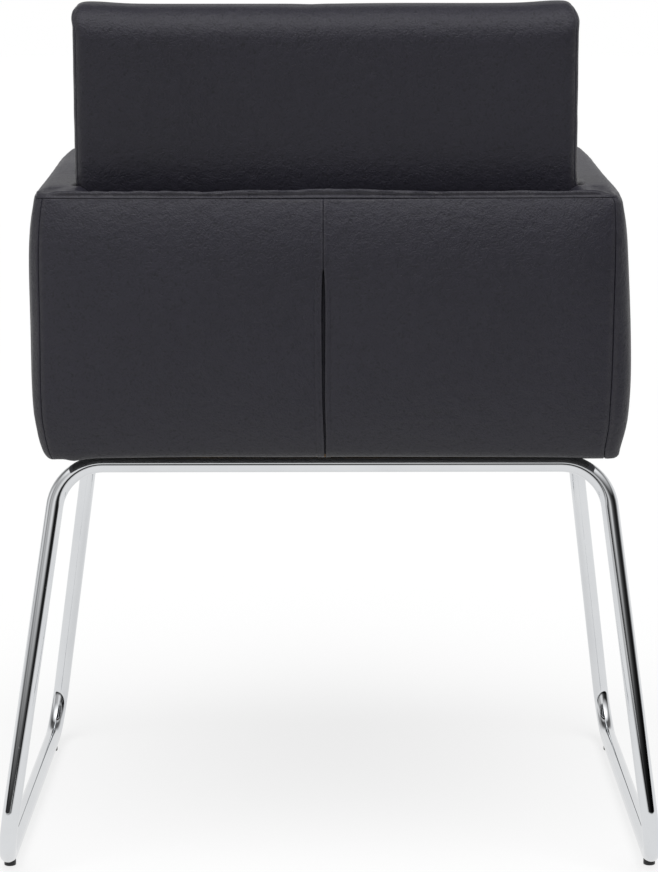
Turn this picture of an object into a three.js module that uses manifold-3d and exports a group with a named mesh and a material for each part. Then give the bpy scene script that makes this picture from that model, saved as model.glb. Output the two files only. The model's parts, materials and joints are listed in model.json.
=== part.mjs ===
// A sled base visitor chair: a bright tube frame under an upholstered seat with low arms and a padded back.
// Sizes are in millimetres. X is to the sitter's right, Y the way the sitter faces and Z up.
// The origin is on the floor, under the middle of the chair.
import * as THREE from "three";
import { mergeVertices } from "three/addons/utils/BufferGeometryUtils.js";
import Module from "manifold-3d";

const wasm = await Module();
wasm.setup();

// Fits that many pieces share.
const gap = 0.3; // between two pieces that rest on each other
const fastenerClearance = 0.4; // all round a bolt or screw
const overrun = 5; // how far a cutting solid runs past what it cuts

// Overall
const overallDepth = 560;

// Sled frame: one bent tube, its ends joined in the middle of the front cross tube
const tubeDiameter = 16;
const tubeWall = 1.5;
const bendRadius = 45;
const frameWidthAtFloor = 596; // between the centre lines of the runners
const frameWidthAtSeat = 500; // between the corners of a cross tube
const frameDepthAtFloor = 521; // between the corners of a runner
const rearRake = 60; // how far the rear cross tube stands inside the corners of the runners
const frontRake = 46; // and the front one
const crossTubeHeight = 380; // centre line above the floor
const spigotLength = 60;

// Glides under the runners
const glideHeight = 5; // from the floor to the underside of the tube
const glideDiameter = 11;
const glideLip = 2; // how far the rim reaches up beside the tube
const glideStemDiameter = 6;
const glideStemRise = 4; // how far the stem stands inside the tube
const glideSetback = 2; // from the end of a bend to the middle of a glide

// Seat rails between the cross tubes, and what bolts the seat board to them
const railWidth = 30;
const railThickness = 5;
const railDrop = 2; // how far the rails lie under the top of the cross tubes
const railSpacing = 240;
const boltSpacing = 300; // along a rail
const boltDiameter = 6;
const boltHeadDiameter = 11;
const boltHeadHeight = 4;
const boltSocketWidth = 4; // across the flats of the hexagon socket
const boltSocketDepth = 2.4;
const boltTipInset = 1.5; // from the top of the tee nut down to the tip of the bolt
const washerDiameter = 15;
const washerThickness = 1.4;
const spacerDiameter = 24;
const teeNutFlangeDiameter = 19;
const teeNutFlangeThickness = 1.4;
const teeNutBarrelDiameter = 9;
const teeNutBarrelLength = 10;

// Boards of the upholstered body
const seatBoardThickness = 15;
const sideBoardThickness = 11;
const boardSetback = 23; // from the outside of the body to the boards
const boardFrontSetback = 18; // from the fronts of the arms to the boards
const boardTopSetback = 20; // from the top of the body to the boards

// The body: two arms and the rear panel in one cover
const bodyClearance = 5.5; // from the top of the cross tubes to the underside of the body
const bodyWidth = 550;
const bodyHeight = 243;
const armThickness = 49;
const rearThickness = 46;
const armFrontSetback = 10; // from the front of the seat to the fronts of the arms
const bodyCornerRadius = 14;
const bodyEdgeRadius = 9;
const coverThickness = 1.5;
const hemWidth = 16; // of the cover turned in under the seat board
const foamClearance = 0.6; // between a foam core and the inside of its cover
const topPull = 7; // how far the cover draws the top edges in
const bottomPull = 8;
const rearPull = 10; // how far it draws the upper and lower edges of the rear panel in
const sideCornerPull = 3;
const rearCornerPull = 8;
const armFrontPull = 5;
const armSplay = 7; // how far the outside of each arm spreads towards its front
const armRise = 6; // how much higher the arms are than the rear panel
const innerCrown = 3; // how far the inside of each arm stands proud in its middle

// Seams of the rear panel
const sideSeamInset = 20; // from the side of the body
const topSeamDrop = 8; // from its top

// The pleat in the middle of the rear panel
const pleatOffset = 3; // from the middle of the chair to the left
const pleatHeight = 177; // from the underside of the body
const pleatWidth = 5;
const pleatEndWidth = 1.6;
const pleatDepth = 7;
const pleatWidestShare = 0.72; // of its height

// Seat cushion
const seatHeight = 466; // floor to the crown of the seat
const seatCrown = 7;
const seatFrontRadius = 26;
const seatRearRadius = 12;
const seatEdgeRadius = 9;
const seatSideClearance = 0.7; // from an arm at its proudest
const seatUnderBack = 44; // how far the seat runs in under the back cushion

// Back cushion and its board
const backTopHeight = 803;
const backThickness = 74;
const backRecline = 6; // degrees
const backTopRadius = 28;
const backBottomRadius = 12;
const backEdgeRadius = 11;
const backFlare = 2; // how much further out each side stands above the arms
const backFrontCrown = 7;
const backRearCrown = 3;
const backSeatClearance = 1; // from the seat's crown to the underside of the cushion
const backBoardSetback = 9; // from the rear of the cushion to the board
const backBoardTopSetback = 32;
const backBoardSideSetback = 26;

// Angle brackets and wood screws
const bracketLeg = 26;
const bracketThickness = 2.5;
const bracketWidth = 40;
const backBracketSpacing = 260;
const cornerBracketLeg = 34;
const cornerBracketHeight = 110; // middle of the bracket above the seat board
const screwDiameter = 3.5;
const screwHeadDiameter = 7;
const screwHeadHeight = 1.6;
const screwBite = 8; // how far a bracket screw runs into the wood
const edgeScrewBite = 24; // how far a screw under the seat board runs into a side board
const sideScrewInset = 85; // from the ends of an arm board
const rearScrewInset = 105; // from the ends of the rear board
const screwHeadSink = 0.3; // below the face that holds a sunk head

// Dust cover under the seat board
const dustCoverThickness = 0.8;
const dustCoverSetback = 5; // inside the edges of the seat board

// Heights and places that follow from the sizes
const tubeRadius = tubeDiameter / 2;
const boreRadius = tubeRadius - tubeWall;
const runnerHeight = glideHeight + tubeRadius;
const rearTubePlace = -frameDepthAtFloor / 2 + rearRake;
const frontTubePlace = frameDepthAtFloor / 2 - frontRake;
const bodyBottom = crossTubeHeight + tubeRadius + bodyClearance;
const bodyTop = bodyBottom + bodyHeight;
const bodyMiddle = (bodyBottom + bodyTop) / 2;
const seatBoardBottom = bodyBottom + coverThickness + gap;
const seatBoardTop = seatBoardBottom + seatBoardThickness;
const sideBoardBottom = seatBoardTop + gap;
const sideBoardTop = bodyTop - boardTopSetback;
const rearPlace = -overallDepth / 2;
const seatFrontPlace = overallDepth / 2;
const armFrontPlace = seatFrontPlace - armFrontSetback;
const bodyDepth = armFrontPlace - rearPlace;
const bodyCentre = (armFrontPlace + rearPlace) / 2;
const bodyHalf = bodyWidth / 2;
const innerHalf = bodyHalf - armThickness;
const innerRear = rearPlace + rearThickness;
const boardHalf = bodyHalf - boardSetback;
const boardRear = rearPlace + boardSetback;
const boardFront = armFrontPlace - boardFrontSetback;
const sideBoardInner = boardHalf - sideBoardThickness;
const rearBoardInner = boardRear + sideBoardThickness;
const cushionHalf = innerHalf - innerCrown - seatSideClearance;
const recline = THREE.MathUtils.degToRad(backRecline);
const backBottomHeight = seatHeight + backSeatClearance;
const railTop = crossTubeHeight + tubeRadius - railDrop;
const railBottom = railTop - railThickness;

// How finely curved faces are cut
const tubeSides = 14;
const boreSides = 10;
const bendSteps = 5;
const roundSides = 12;
const cornerSteps = 3;
const edgeSteps = 2;
const bodySteps = 5;
const cushionSteps = 6;
const longSideSteps = 7; // along an arm or across the rear
const cushionSideSteps = 6; // along a cushion's curved faces

const chrome = new THREE.MeshStandardMaterial({ color: 0xd9dcdf, roughness: 0.08, metalness: 1 });
const zincSteel = new THREE.MeshStandardMaterial({ color: 0xa9adb0, roughness: 0.35, metalness: 1 });
const blackPlastic = new THREE.MeshStandardMaterial({ color: 0x141416, roughness: 0.5, metalness: 0 });
const blackLeather = new THREE.MeshStandardMaterial({ color: 0x2a292e, roughness: 0.5, metalness: 0 });
const blackFelt = new THREE.MeshStandardMaterial({ color: 0x17171a, roughness: 0.95, metalness: 0 });
const plywood = new THREE.MeshStandardMaterial({ color: 0xc59a66, roughness: 0.7, metalness: 0 });
const foam = new THREE.MeshStandardMaterial({ color: 0xe8dfa8, roughness: 0.95, metalness: 0 });

const chair = new THREE.Group();

// Adds one named piece to the chair, from a geometry or a solid.
function add(name, piece, material) {
  const geometry = piece.isBufferGeometry ? piece : geometryOf(piece);
  geometry.computeVertexNormals();
  const mesh = new THREE.Mesh(geometry, material);
  mesh.name = name;
  chair.add(mesh);
}

// A closed geometry as a solid that can be cut and joined.
function solid(geometry) {
  const bare = geometry.clone();
  bare.deleteAttribute("normal");
  bare.deleteAttribute("uv");
  const merged = mergeVertices(bare);
  return new wasm.Manifold(
    new wasm.Mesh({
      numProp: 3,
      vertProperties: merged.attributes.position.array,
      triVerts: new Uint32Array(merged.index.array),
    }),
  );
}

function geometryOf(made) {
  const mesh = made.getMesh();
  const geometry = new THREE.BufferGeometry();
  geometry.setAttribute("position", new THREE.BufferAttribute(mesh.vertProperties, mesh.numProp));
  geometry.setIndex(new THREE.BufferAttribute(mesh.triVerts, 1));
  return geometry;
}

// A block between two corners.
function block(low, high) {
  const size = high.map((value, axis) => value - low[axis]);
  const middle = high.map((value, axis) => (value + low[axis]) / 2);
  return solid(new THREE.BoxGeometry(...size).translate(...middle));
}

// A round bar from one point to another.
function rod(from, to, radius, sides = roundSides) {
  const start = new THREE.Vector3(...from);
  const along = new THREE.Vector3(...to).sub(start);
  const length = along.length();
  const turn = new THREE.Quaternion().setFromUnitVectors(
    new THREE.Vector3(0, 1, 0),
    along.clone().normalize(),
  );
  const bar = new THREE.CylinderGeometry(radius, radius, length, sides);
  return solid(
    bar
      .translate(0, length / 2, 0)
      .applyQuaternion(turn)
      .translate(...from),
  );
}

// A point moved along a direction.
const moved = (point, direction, distance) => point.map((value, axis) => value + direction[axis] * distance);

const limited = (share) => THREE.MathUtils.clamp(share, 0, 1);

// The frame tube's line: straights and bends, with a section only where the line starts, ends or turns.
class TubeLine extends THREE.Curve {
  constructor(stations) {
    super();
    this.stations = stations;
  }
  station(share) {
    return this.stations[Math.round(share * (this.stations.length - 1))];
  }
  getPoint(share) {
    return this.station(share).point.clone();
  }
  getTangent(share) {
    return this.station(share).along.clone();
  }
  getPointAt(share) {
    return this.getPoint(share);
  }
  getTangentAt(share) {
    return this.getTangent(share);
  }
}

// The stations of a bend of the frame's radius at a corner between two other points.
function bendStations(before, corner, after) {
  const into = corner.clone().sub(before).normalize();
  const out = after.clone().sub(corner).normalize();
  const turn = into.angleTo(out);
  const reach = bendRadius * Math.tan(turn / 2);
  const axis = into.clone().cross(out).normalize();
  const start = corner.clone().addScaledVector(into, -reach);
  const centre = start.clone().addScaledVector(axis.clone().cross(into), bendRadius);
  return Array.from({ length: bendSteps + 1 }, (_, step) => {
    const angle = (turn * step) / bendSteps;
    return {
      point: start.clone().sub(centre).applyAxisAngle(axis, angle).add(centre),
      along: into.clone().applyAxisAngle(axis, angle),
    };
  });
}

// The corners of the frame's line, from the joint in the front cross tube round the left side and back by the right.
function frameCorners() {
  const floorHalf = frameWidthAtFloor / 2;
  const seatHalf = frameWidthAtSeat / 2;
  const floorEnd = frameDepthAtFloor / 2;
  return [
    [0, frontTubePlace, crossTubeHeight],
    [-seatHalf, frontTubePlace, crossTubeHeight],
    [-floorHalf, floorEnd, runnerHeight],
    [-floorHalf, -floorEnd, runnerHeight],
    [-seatHalf, rearTubePlace, crossTubeHeight],
    [seatHalf, rearTubePlace, crossTubeHeight],
    [floorHalf, -floorEnd, runnerHeight],
    [floorHalf, floorEnd, runnerHeight],
    [seatHalf, frontTubePlace, crossTubeHeight],
    [0, frontTubePlace, crossTubeHeight],
  ].map((corner) => new THREE.Vector3(...corner));
}

// A round section swept along the frame's line, which stops short of the joint by the inset.
function frameSweep(radius, sides, endInset) {
  const corners = frameCorners();
  const left = new THREE.Vector3(-1, 0, 0);
  const stations = [{ point: corners[0].clone().addScaledVector(left, endInset), along: left }];
  for (let i = 1; i < corners.length - 1; i++)
    stations.push(...bendStations(corners[i - 1], corners[i], corners[i + 1]));
  stations.push({ point: corners.at(-1).clone().addScaledVector(left, -endInset), along: left });
  const section = new THREE.Shape(
    Array.from({ length: sides }, (_, side) => {
      const angle = (2 * Math.PI * side) / sides;
      return new THREE.Vector2(Math.cos(angle), Math.sin(angle)).multiplyScalar(radius);
    }),
  );
  return solid(
    new THREE.ExtrudeGeometry(section, {
      steps: stations.length - 1,
      extrudePath: new TubeLine(stations),
    }),
  );
}

// The middles of the four glides, each with its name. Each is just past the bend of a leg that leans in by the rake.
function glidePlaces() {
  const splay = (frameWidthAtFloor - frameWidthAtSeat) / 2;
  const rise = crossTubeHeight - runnerHeight;
  return [
    ["rear", -1, rearRake],
    ["front", 1, frontRake],
  ].flatMap(([end, way, rake]) => {
    const turn = Math.PI / 2 + Math.asin(rake / Math.hypot(rake, splay, rise));
    const along = frameDepthAtFloor / 2 - bendRadius * Math.tan(turn / 2) - glideSetback;
    return ["left", "right"].map((side) => ({
      name: `${end}_${side}`,
      x: ((side === "left" ? -1 : 1) * frameWidthAtFloor) / 2,
      y: way * along,
    }));
  });
}

// The middles of the four seat bolts, each with its name.
function boltPlaces() {
  return ["rear", "front"].flatMap((end) =>
    ["left", "right"].map((side) => ({
      name: `${end}_${side}`,
      x: ((side === "left" ? -1 : 1) * railSpacing) / 2,
      y: ((end === "rear" ? -1 : 1) * boltSpacing) / 2,
    })),
  );
}

function makeFrame() {
  let tube = frameSweep(tubeRadius, tubeSides, gap / 2);
  tube = tube.subtract(frameSweep(boreRadius, boreSides, gap / 4));
  for (const { x, y } of glidePlaces()) {
    const hole = rod([x, y, 0], [x, y, runnerHeight], glideStemDiameter / 2 + gap);
    tube = tube.subtract(hole);
  }
  add("sled_frame", tube, chrome);
  const spigotEnd = spigotLength / 2;
  const spigotRadius = boreRadius * Math.cos(Math.PI / boreSides) - gap;
  const spigot = rod(
    [-spigotEnd, frontTubePlace, crossTubeHeight],
    [spigotEnd, frontTubePlace, crossTubeHeight],
    spigotRadius,
    boreSides,
  );
  add("frame_spigot", spigot, zincSteel);
}

function makeGlides() {
  const stemTop = glideHeight + tubeWall + glideStemRise;
  for (const { name, x, y } of glidePlaces()) {
    const foot = rod([x, y, 0], [x, y, glideHeight + glideLip], glideDiameter / 2);
    const runner = rod(
      [x, y - glideDiameter, runnerHeight],
      [x, y + glideDiameter, runnerHeight],
      tubeRadius + gap,
    );
    const stem = rod([x, y, glideHeight / 2], [x, y, stemTop], glideStemDiameter / 2);
    add(`glide_${name}`, foot.subtract(runner).add(stem), blackPlastic);
  }
}

function makeRails() {
  const crossTubes = [rearTubePlace, frontTubePlace].map((y) =>
    rod([-bodyHalf, y, crossTubeHeight], [bodyHalf, y, crossTubeHeight], tubeRadius + gap),
  );
  for (const [name, side] of [
    ["left", -1],
    ["right", 1],
  ]) {
    const middle = (side * railSpacing) / 2;
    let rail = block(
      [middle - railWidth / 2, rearTubePlace, railBottom],
      [middle + railWidth / 2, frontTubePlace, railTop],
    );
    for (const tube of crossTubes) rail = rail.subtract(tube);
    for (const { x, y } of boltPlaces())
      rail = rail.subtract(
        rod(
          [x, y, railBottom - overrun],
          [x, y, railTop + overrun],
          boltDiameter / 2 + fastenerClearance,
        ),
      );
    add(`seat_rail_${name}`, rail, chrome);
  }
}

// Each seat bolt comes up through a washer, the rail, a spacer and the seat board into a tee nut.
function makeSeatFixings() {
  const holeRadius = boltDiameter / 2 + fastenerClearance;
  const washerTop = railBottom - gap;
  const washerBottom = washerTop - washerThickness;
  const headTop = washerBottom - gap;
  const headBottom = headTop - boltHeadHeight;
  const flangeTop = seatBoardTop - gap;
  const flangeBottom = flangeTop - teeNutFlangeThickness;
  for (const { name, x, y } of boltPlaces()) {
    const upright = (low, high, radius, sides) => rod([x, y, low], [x, y, high], radius, sides);
    const socketRadius = boltSocketWidth / 2 / Math.cos(Math.PI / 6);
    const bolt = upright(headBottom, headTop, boltHeadDiameter / 2)
      .add(upright(headBottom + boltSocketDepth + gap, flangeTop - boltTipInset, boltDiameter / 2))
      .subtract(upright(headBottom - overrun, headBottom + boltSocketDepth, socketRadius, 6));
    add(`seat_bolt_${name}`, bolt, zincSteel);
    const washer = upright(washerBottom, washerTop, washerDiameter / 2).subtract(
      upright(washerBottom - overrun, washerTop + overrun, holeRadius),
    );
    add(`seat_washer_${name}`, washer, zincSteel);
    const spacer = upright(railTop + gap, seatBoardBottom - gap, spacerDiameter / 2).subtract(
      upright(railTop - overrun, seatBoardBottom + overrun, holeRadius),
    );
    add(`seat_spacer_${name}`, spacer, blackPlastic);
    const teeNut = upright(flangeBottom, flangeTop, teeNutFlangeDiameter / 2)
      .add(upright(flangeTop - teeNutBarrelLength, flangeTop - gap, teeNutBarrelDiameter / 2))
      .subtract(upright(seatBoardBottom - overrun, seatBoardTop + overrun, holeRadius));
    add(`tee_nut_${name}`, teeNut, zincSteel);
  }
}

// The points of a closed outline. Each corner has its rounding and the number of steps in the straight after it.
function outline(corners) {
  const points = [];
  corners.forEach(([x, y, radius], i) => {
    const [beforeX, beforeY] = corners.at(i - 1);
    const [afterX, afterY] = corners[(i + 1) % corners.length];
    const corner = new THREE.Vector2(x, y);
    const into = corner.clone().sub(new THREE.Vector2(beforeX, beforeY)).normalize();
    const out = new THREE.Vector2(afterX, afterY).sub(corner).normalize();
    const turn = Math.atan2(into.cross(out), into.dot(out));
    const reach = radius * Math.tan(Math.abs(turn) / 2);
    const start = corner.clone().addScaledVector(into, -reach);
    if (points.length) divide(points, points.at(-1), start, corners[i - 1][3]);
    const centre = new THREE.Vector2(-into.y, into.x).multiplyScalar(Math.sign(turn) * radius).add(start);
    const steps = radius ? cornerSteps : 0;
    for (let step = 0; step <= steps; step++)
      points.push(start.clone().rotateAround(centre, steps ? (turn * step) / steps : 0));
  });
  divide(points, points.at(-1), points[0], corners.at(-1)[3]);
  return points;
}

// Adds the points between two others that divide the straight between them evenly.
function divide(points, from, to, steps) {
  for (let step = 1; step < steps; step++) points.push(from.clone().lerp(to, step / steps));
}

// A padded form: an outline given a length, its two end faces rounded off, and each point then moved by the shaping
// function of the piece.
function padded(corners, length, edgeRadius, steps, place, shape) {
  const geometry = new THREE.ExtrudeGeometry(new THREE.Shape(outline(corners)), {
    depth: length - 2 * edgeRadius,
    steps,
    bevelThickness: edgeRadius,
    bevelSize: edgeRadius,
    bevelOffset: -edgeRadius,
    bevelSegments: edgeSteps,
  });
  geometry.translate(0, 0, edgeRadius).applyMatrix4(place);
  const position = geometry.attributes.position;
  const point = new THREE.Vector3();
  for (let i = 0; i < position.count; i++) {
    point.fromBufferAttribute(position, i);
    shape(point);
    position.setXYZ(i, point.x, point.y, point.z);
  }
  return solid(geometry);
}

// The cover draws the body's edges in and leaves its faces proud.
function shapeBody(point) {
  const { x, y, z } = point;
  const side = Math.sign(x);
  const heightShare = (z - bodyMiddle) / (bodyHeight / 2);
  const lengthShare = (y - bodyCentre) / (bodyDepth / 2);
  const widthShare = x / bodyHalf;
  const outerShare = limited((Math.abs(x) - innerHalf) / armThickness);
  const innerShare = limited(Math.abs(x) / innerHalf) - outerShare;
  const rearShare = limited((innerRear - y) / rearThickness);
  const frontShare = limited((y - armFrontPlace + armThickness) / armThickness);
  const edgePull = (heightShare > 0 ? topPull : bottomPull) * heightShare ** 4;
  const middleShare = (1 - limited(heightShare ** 2)) * (1 - limited(lengthShare ** 2));
  point.x -= side * outerShare * (edgePull + sideCornerPull * lengthShare ** 4 - armSplay * lengthShare);
  point.x -= side * innerShare * innerCrown * middleShare;
  point.y += rearShare * (rearPull * heightShare ** 4 + rearCornerPull * widthShare ** 4);
  point.y -= frontShare * armFrontPull * heightShare ** 4;
  point.z += armRise * ((y - rearPlace) / bodyDepth) * ((z - bodyBottom) / bodyHeight);
}

// The body's form, taken in all round by the inset.
function bodyForm(inset) {
  const outer = bodyHalf - inset;
  const inner = innerHalf + inset;
  const front = armFrontPlace - inset;
  const rear = rearPlace + inset;
  const seatSide = innerRear - inset;
  const radius = bodyCornerRadius - inset;
  const corners = [
    [outer, front, radius, 1],
    [inner, front, radius, longSideSteps],
    [inner, seatSide, 0, longSideSteps],
    [-inner, seatSide, 0, longSideSteps],
    [-inner, front, radius, 1],
    [-outer, front, radius, longSideSteps],
    [-outer, rear, radius, longSideSteps],
    [outer, rear, radius, longSideSteps],
  ];
  const place = new THREE.Matrix4().makeTranslation(0, 0, bodyBottom + inset);
  return padded(corners, bodyHeight - 2 * inset, bodyEdgeRadius - inset, bodySteps, place, shapeBody);
}

// The hollow that the pleat folds into the rear panel, made wider and deeper by the margin.
function pleatForm(margin) {
  const foot = bodyBottom - overrun;
  const head = bodyBottom + pleatHeight + margin;
  const widest = bodyBottom + pleatHeight * pleatWidestShare;
  const half = pleatWidth / 2 + margin;
  const endHalf = pleatEndWidth / 2 + margin;
  const lens = new THREE.Shape();
  lens.moveTo(-endHalf, foot);
  lens.lineTo(endHalf, foot);
  lens.quadraticCurveTo(half, (foot + widest) / 2, half, widest);
  lens.quadraticCurveTo(half, (head + widest) / 2, endHalf, head);
  lens.lineTo(-endHalf, head);
  lens.quadraticCurveTo(-half, (head + widest) / 2, -half, widest);
  lens.quadraticCurveTo(-half, (foot + widest) / 2, -endHalf, foot);
  const depth = pleatDepth + margin + overrun;
  const cut = new THREE.ExtrudeGeometry(lens, { depth, bevelEnabled: false, curveSegments: cornerSteps });
  return solid(cut.rotateX(Math.PI / 2).translate(-pleatOffset, rearPlace - overrun + depth, 0));
}

// The space that the seat board fills, made larger by the margin.
function seatBoardSpace(margin) {
  return block(
    [-boardHalf - margin, boardRear - margin, seatBoardBottom - margin],
    [boardHalf + margin, boardFront + margin, seatBoardTop + margin],
  );
}

// The board of each arm and of the rear, made larger by the margin.
function sideBoards(margin) {
  const low = sideBoardBottom - margin;
  const high = sideBoardTop + margin;
  return {
    arm_board_left: block(
      [-boardHalf - margin, boardRear - margin, low],
      [-sideBoardInner + margin, boardFront + margin, high],
    ),
    arm_board_right: block(
      [sideBoardInner - margin, boardRear - margin, low],
      [boardHalf + margin, boardFront + margin, high],
    ),
    rear_board: block(
      [-sideBoardInner + gap - margin, boardRear - margin, low],
      [sideBoardInner - gap + margin, rearBoardInner + margin, high],
    ),
  };
}

// A wood screw from the underside of its head to its tip, its head on the other side, with a point.
function woodScrew(seat, direction, length) {
  const tip = moved(seat, direction, length - screwDiameter);
  const point = new THREE.ConeGeometry(screwDiameter / 2, screwDiameter, roundSides / 2);
  const turn = new THREE.Quaternion().setFromUnitVectors(
    new THREE.Vector3(0, 1, 0),
    new THREE.Vector3(...direction),
  );
  const pointed = point
    .translate(0, screwDiameter / 2, 0)
    .applyQuaternion(turn)
    .translate(...tip);
  return rod(moved(seat, direction, -screwHeadHeight), seat, screwHeadDiameter / 2, roundSides / 2)
    .add(rod(moved(seat, direction, -screwHeadHeight / 2), tip, screwDiameter / 2, roundSides / 2))
    .add(solid(pointed));
}

// The space that a wood screw needs, head included.
function screwSpace(seat, direction, length) {
  const headRadius = screwHeadDiameter / 2 + fastenerClearance;
  const shankRadius = screwDiameter / 2 + fastenerClearance;
  const tip = moved(seat, direction, length + fastenerClearance);
  return rod(moved(seat, direction, -screwHeadHeight - gap), seat, headRadius).add(
    rod(moved(seat, direction, -gap), tip, shankRadius),
  );
}

// The two corner brackets that hold the rear board to the arm boards, each with two screws.
function cornerBrackets() {
  const low = seatBoardTop + cornerBracketHeight - bracketWidth / 2;
  const middle = seatBoardTop + cornerBracketHeight;
  const inset = bracketThickness + gap;
  return [
    ["left", -1],
    ["right", 1],
  ].map(([name, side]) => {
    const corner = sideBoardInner - gap;
    const rear = rearBoardInner + gap;
    const bracket = (margin) => {
      const plan = new THREE.Shape(
        [
          [corner + margin, rear - margin],
          [corner + margin, rear + cornerBracketLeg + margin],
          [corner - bracketThickness - margin, rear + cornerBracketLeg + margin],
          [corner - bracketThickness - margin, rear + bracketThickness + margin],
          [corner - cornerBracketLeg - margin, rear + bracketThickness + margin],
          [corner - cornerBracketLeg - margin, rear - margin],
        ].map(([x, y]) => new THREE.Vector2(side * x, y)),
      );
      const depth = bracketWidth + 2 * margin;
      return solid(
        new THREE.ExtrudeGeometry(plan, { depth, bevelEnabled: false }).translate(0, 0, low - margin),
      );
    };
    const screws = [
      {
        name: `corner_screw_arm_${name}`,
        seat: [side * (corner - inset), rear + (cornerBracketLeg * 2) / 3, middle],
        direction: [side, 0, 0],
      },
      {
        name: `corner_screw_rear_${name}`,
        seat: [side * (corner - (cornerBracketLeg * 2) / 3), rear + inset, middle],
        direction: [0, -1, 0],
      },
    ];
    return { name: `corner_bracket_${name}`, bracket, screws, length: inset + screwBite };
  });
}

// Makes a bracket with its screw holes, and its screws.
function addBracket({ name, bracket, screws, length }) {
  let made = bracket(0);
  for (const { seat, direction } of screws) made = made.subtract(screwSpace(seat, direction, length));
  add(name, made, zincSteel);
  for (const screw of screws) add(screw.name, woodScrew(screw.seat, screw.direction, length), zincSteel);
}

// The screws that come up through the seat board into the boards that stand on it.
function edgeScrews() {
  const armMiddle = (boardHalf + sideBoardInner) / 2;
  const rearMiddle = (boardRear + rearBoardInner) / 2;
  const z = seatBoardBottom + screwHeadHeight + screwHeadSink;
  const length = sideBoardBottom + edgeScrewBite - z;
  const direction = [0, 0, 1];
  const rear = boardRear + sideScrewInset;
  const front = boardFront - sideScrewInset;
  const across = sideBoardInner - rearScrewInset;
  return [
    { name: "edge_screw_arm_rear_left", seat: [-armMiddle, rear, z], direction, length },
    { name: "edge_screw_arm_front_left", seat: [-armMiddle, front, z], direction, length },
    { name: "edge_screw_arm_rear_right", seat: [armMiddle, rear, z], direction, length },
    { name: "edge_screw_arm_front_right", seat: [armMiddle, front, z], direction, length },
    { name: "edge_screw_rear_left", seat: [-across, rearMiddle, z], direction, length },
    { name: "edge_screw_rear_right", seat: [across, rearMiddle, z], direction, length },
  ];
}

// The back cushion and its board lean back about this place, where the cushion meets the top of the rear panel.
const backPivotHeight = bodyTop - bodyEdgeRadius;
const backPlace = new THREE.Matrix4()
  .makeTranslation(0, innerRear + gap + backRearCrown, backPivotHeight)
  .multiply(new THREE.Matrix4().makeRotationX(recline));
const backLow = (backBottomHeight - backPivotHeight) / Math.cos(recline);
const backHigh = (backTopHeight - backPivotHeight - backThickness * Math.sin(recline)) / Math.cos(recline);
const backRearward = [0, -Math.cos(recline), -Math.sin(recline)];

// Turns a profile in Y and Z that was drawn flat, so that its length runs along X about the middle.
function acrossChair(length) {
  return new THREE.Matrix4()
    .makeBasis(new THREE.Vector3(0, 1, 0), new THREE.Vector3(0, 0, 1), new THREE.Vector3(1, 0, 0))
    .setPosition(-length / 2, 0, 0);
}

// The back cushion's form, taken in all round by the inset, upright before it is leant back.
function backForm(inset) {
  const top = backHigh - inset;
  const low = backLow + inset;
  const rear = inset;
  const front = backThickness - inset;
  const topRadius = backTopRadius - inset;
  const lowRadius = backBottomRadius - inset;
  const width = 2 * (cushionHalf - inset);
  const corners = [
    [rear, low, lowRadius, 1],
    [front, low, lowRadius, cushionSideSteps],
    [front, top, topRadius, 1],
    [rear, top, topRadius, cushionSideSteps],
  ];
  const shape = (point) => {
    const { x, y, z } = point;
    const widthShare = x / cushionHalf;
    const heightShare = (2 * (z - backLow)) / (backHigh - backLow) - 1;
    const frontShare = limited(y / backThickness);
    const crown = (1 - widthShare ** 4) * (1 - limited(heightShare ** 4));
    point.x += backFlare * widthShare * (z / backHigh);
    point.y += crown * (backFrontCrown * frontShare - backRearCrown * (1 - frontShare));
    point.applyMatrix4(backPlace);
  };
  return padded(corners, width, backEdgeRadius - inset, cushionSteps, acrossChair(width), shape);
}

// The back board, made larger by the margin. It stands on the seat board.
function backBoardForm(margin) {
  const half = cushionHalf - backBoardSideSetback + margin;
  const low = new THREE.Vector3(-half, backBoardSetback - margin, 2 * (seatBoardTop - backPivotHeight));
  const high = new THREE.Vector3(
    half,
    backBoardSetback + sideBoardThickness + margin,
    backHigh - backBoardTopSetback + margin,
  );
  const leaning = new THREE.BoxGeometry(...high.clone().sub(low).toArray())
    .translate(...high.clone().add(low).divideScalar(2).toArray())
    .applyMatrix4(backPlace);
  const floor = block(
    [-bodyHalf, rearPlace, -overrun],
    [bodyHalf, armFrontPlace, seatBoardTop + gap - margin],
  );
  return solid(leaning).subtract(floor);
}

// The point on the rear face of the back board at a height, in Y and Z.
function boardRearAt(height) {
  const onBoard = new THREE.Vector3(0, backBoardSetback, 0).applyMatrix4(backPlace);
  return [onBoard.y - (height - onBoard.z) * Math.tan(recline), height];
}

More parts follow.
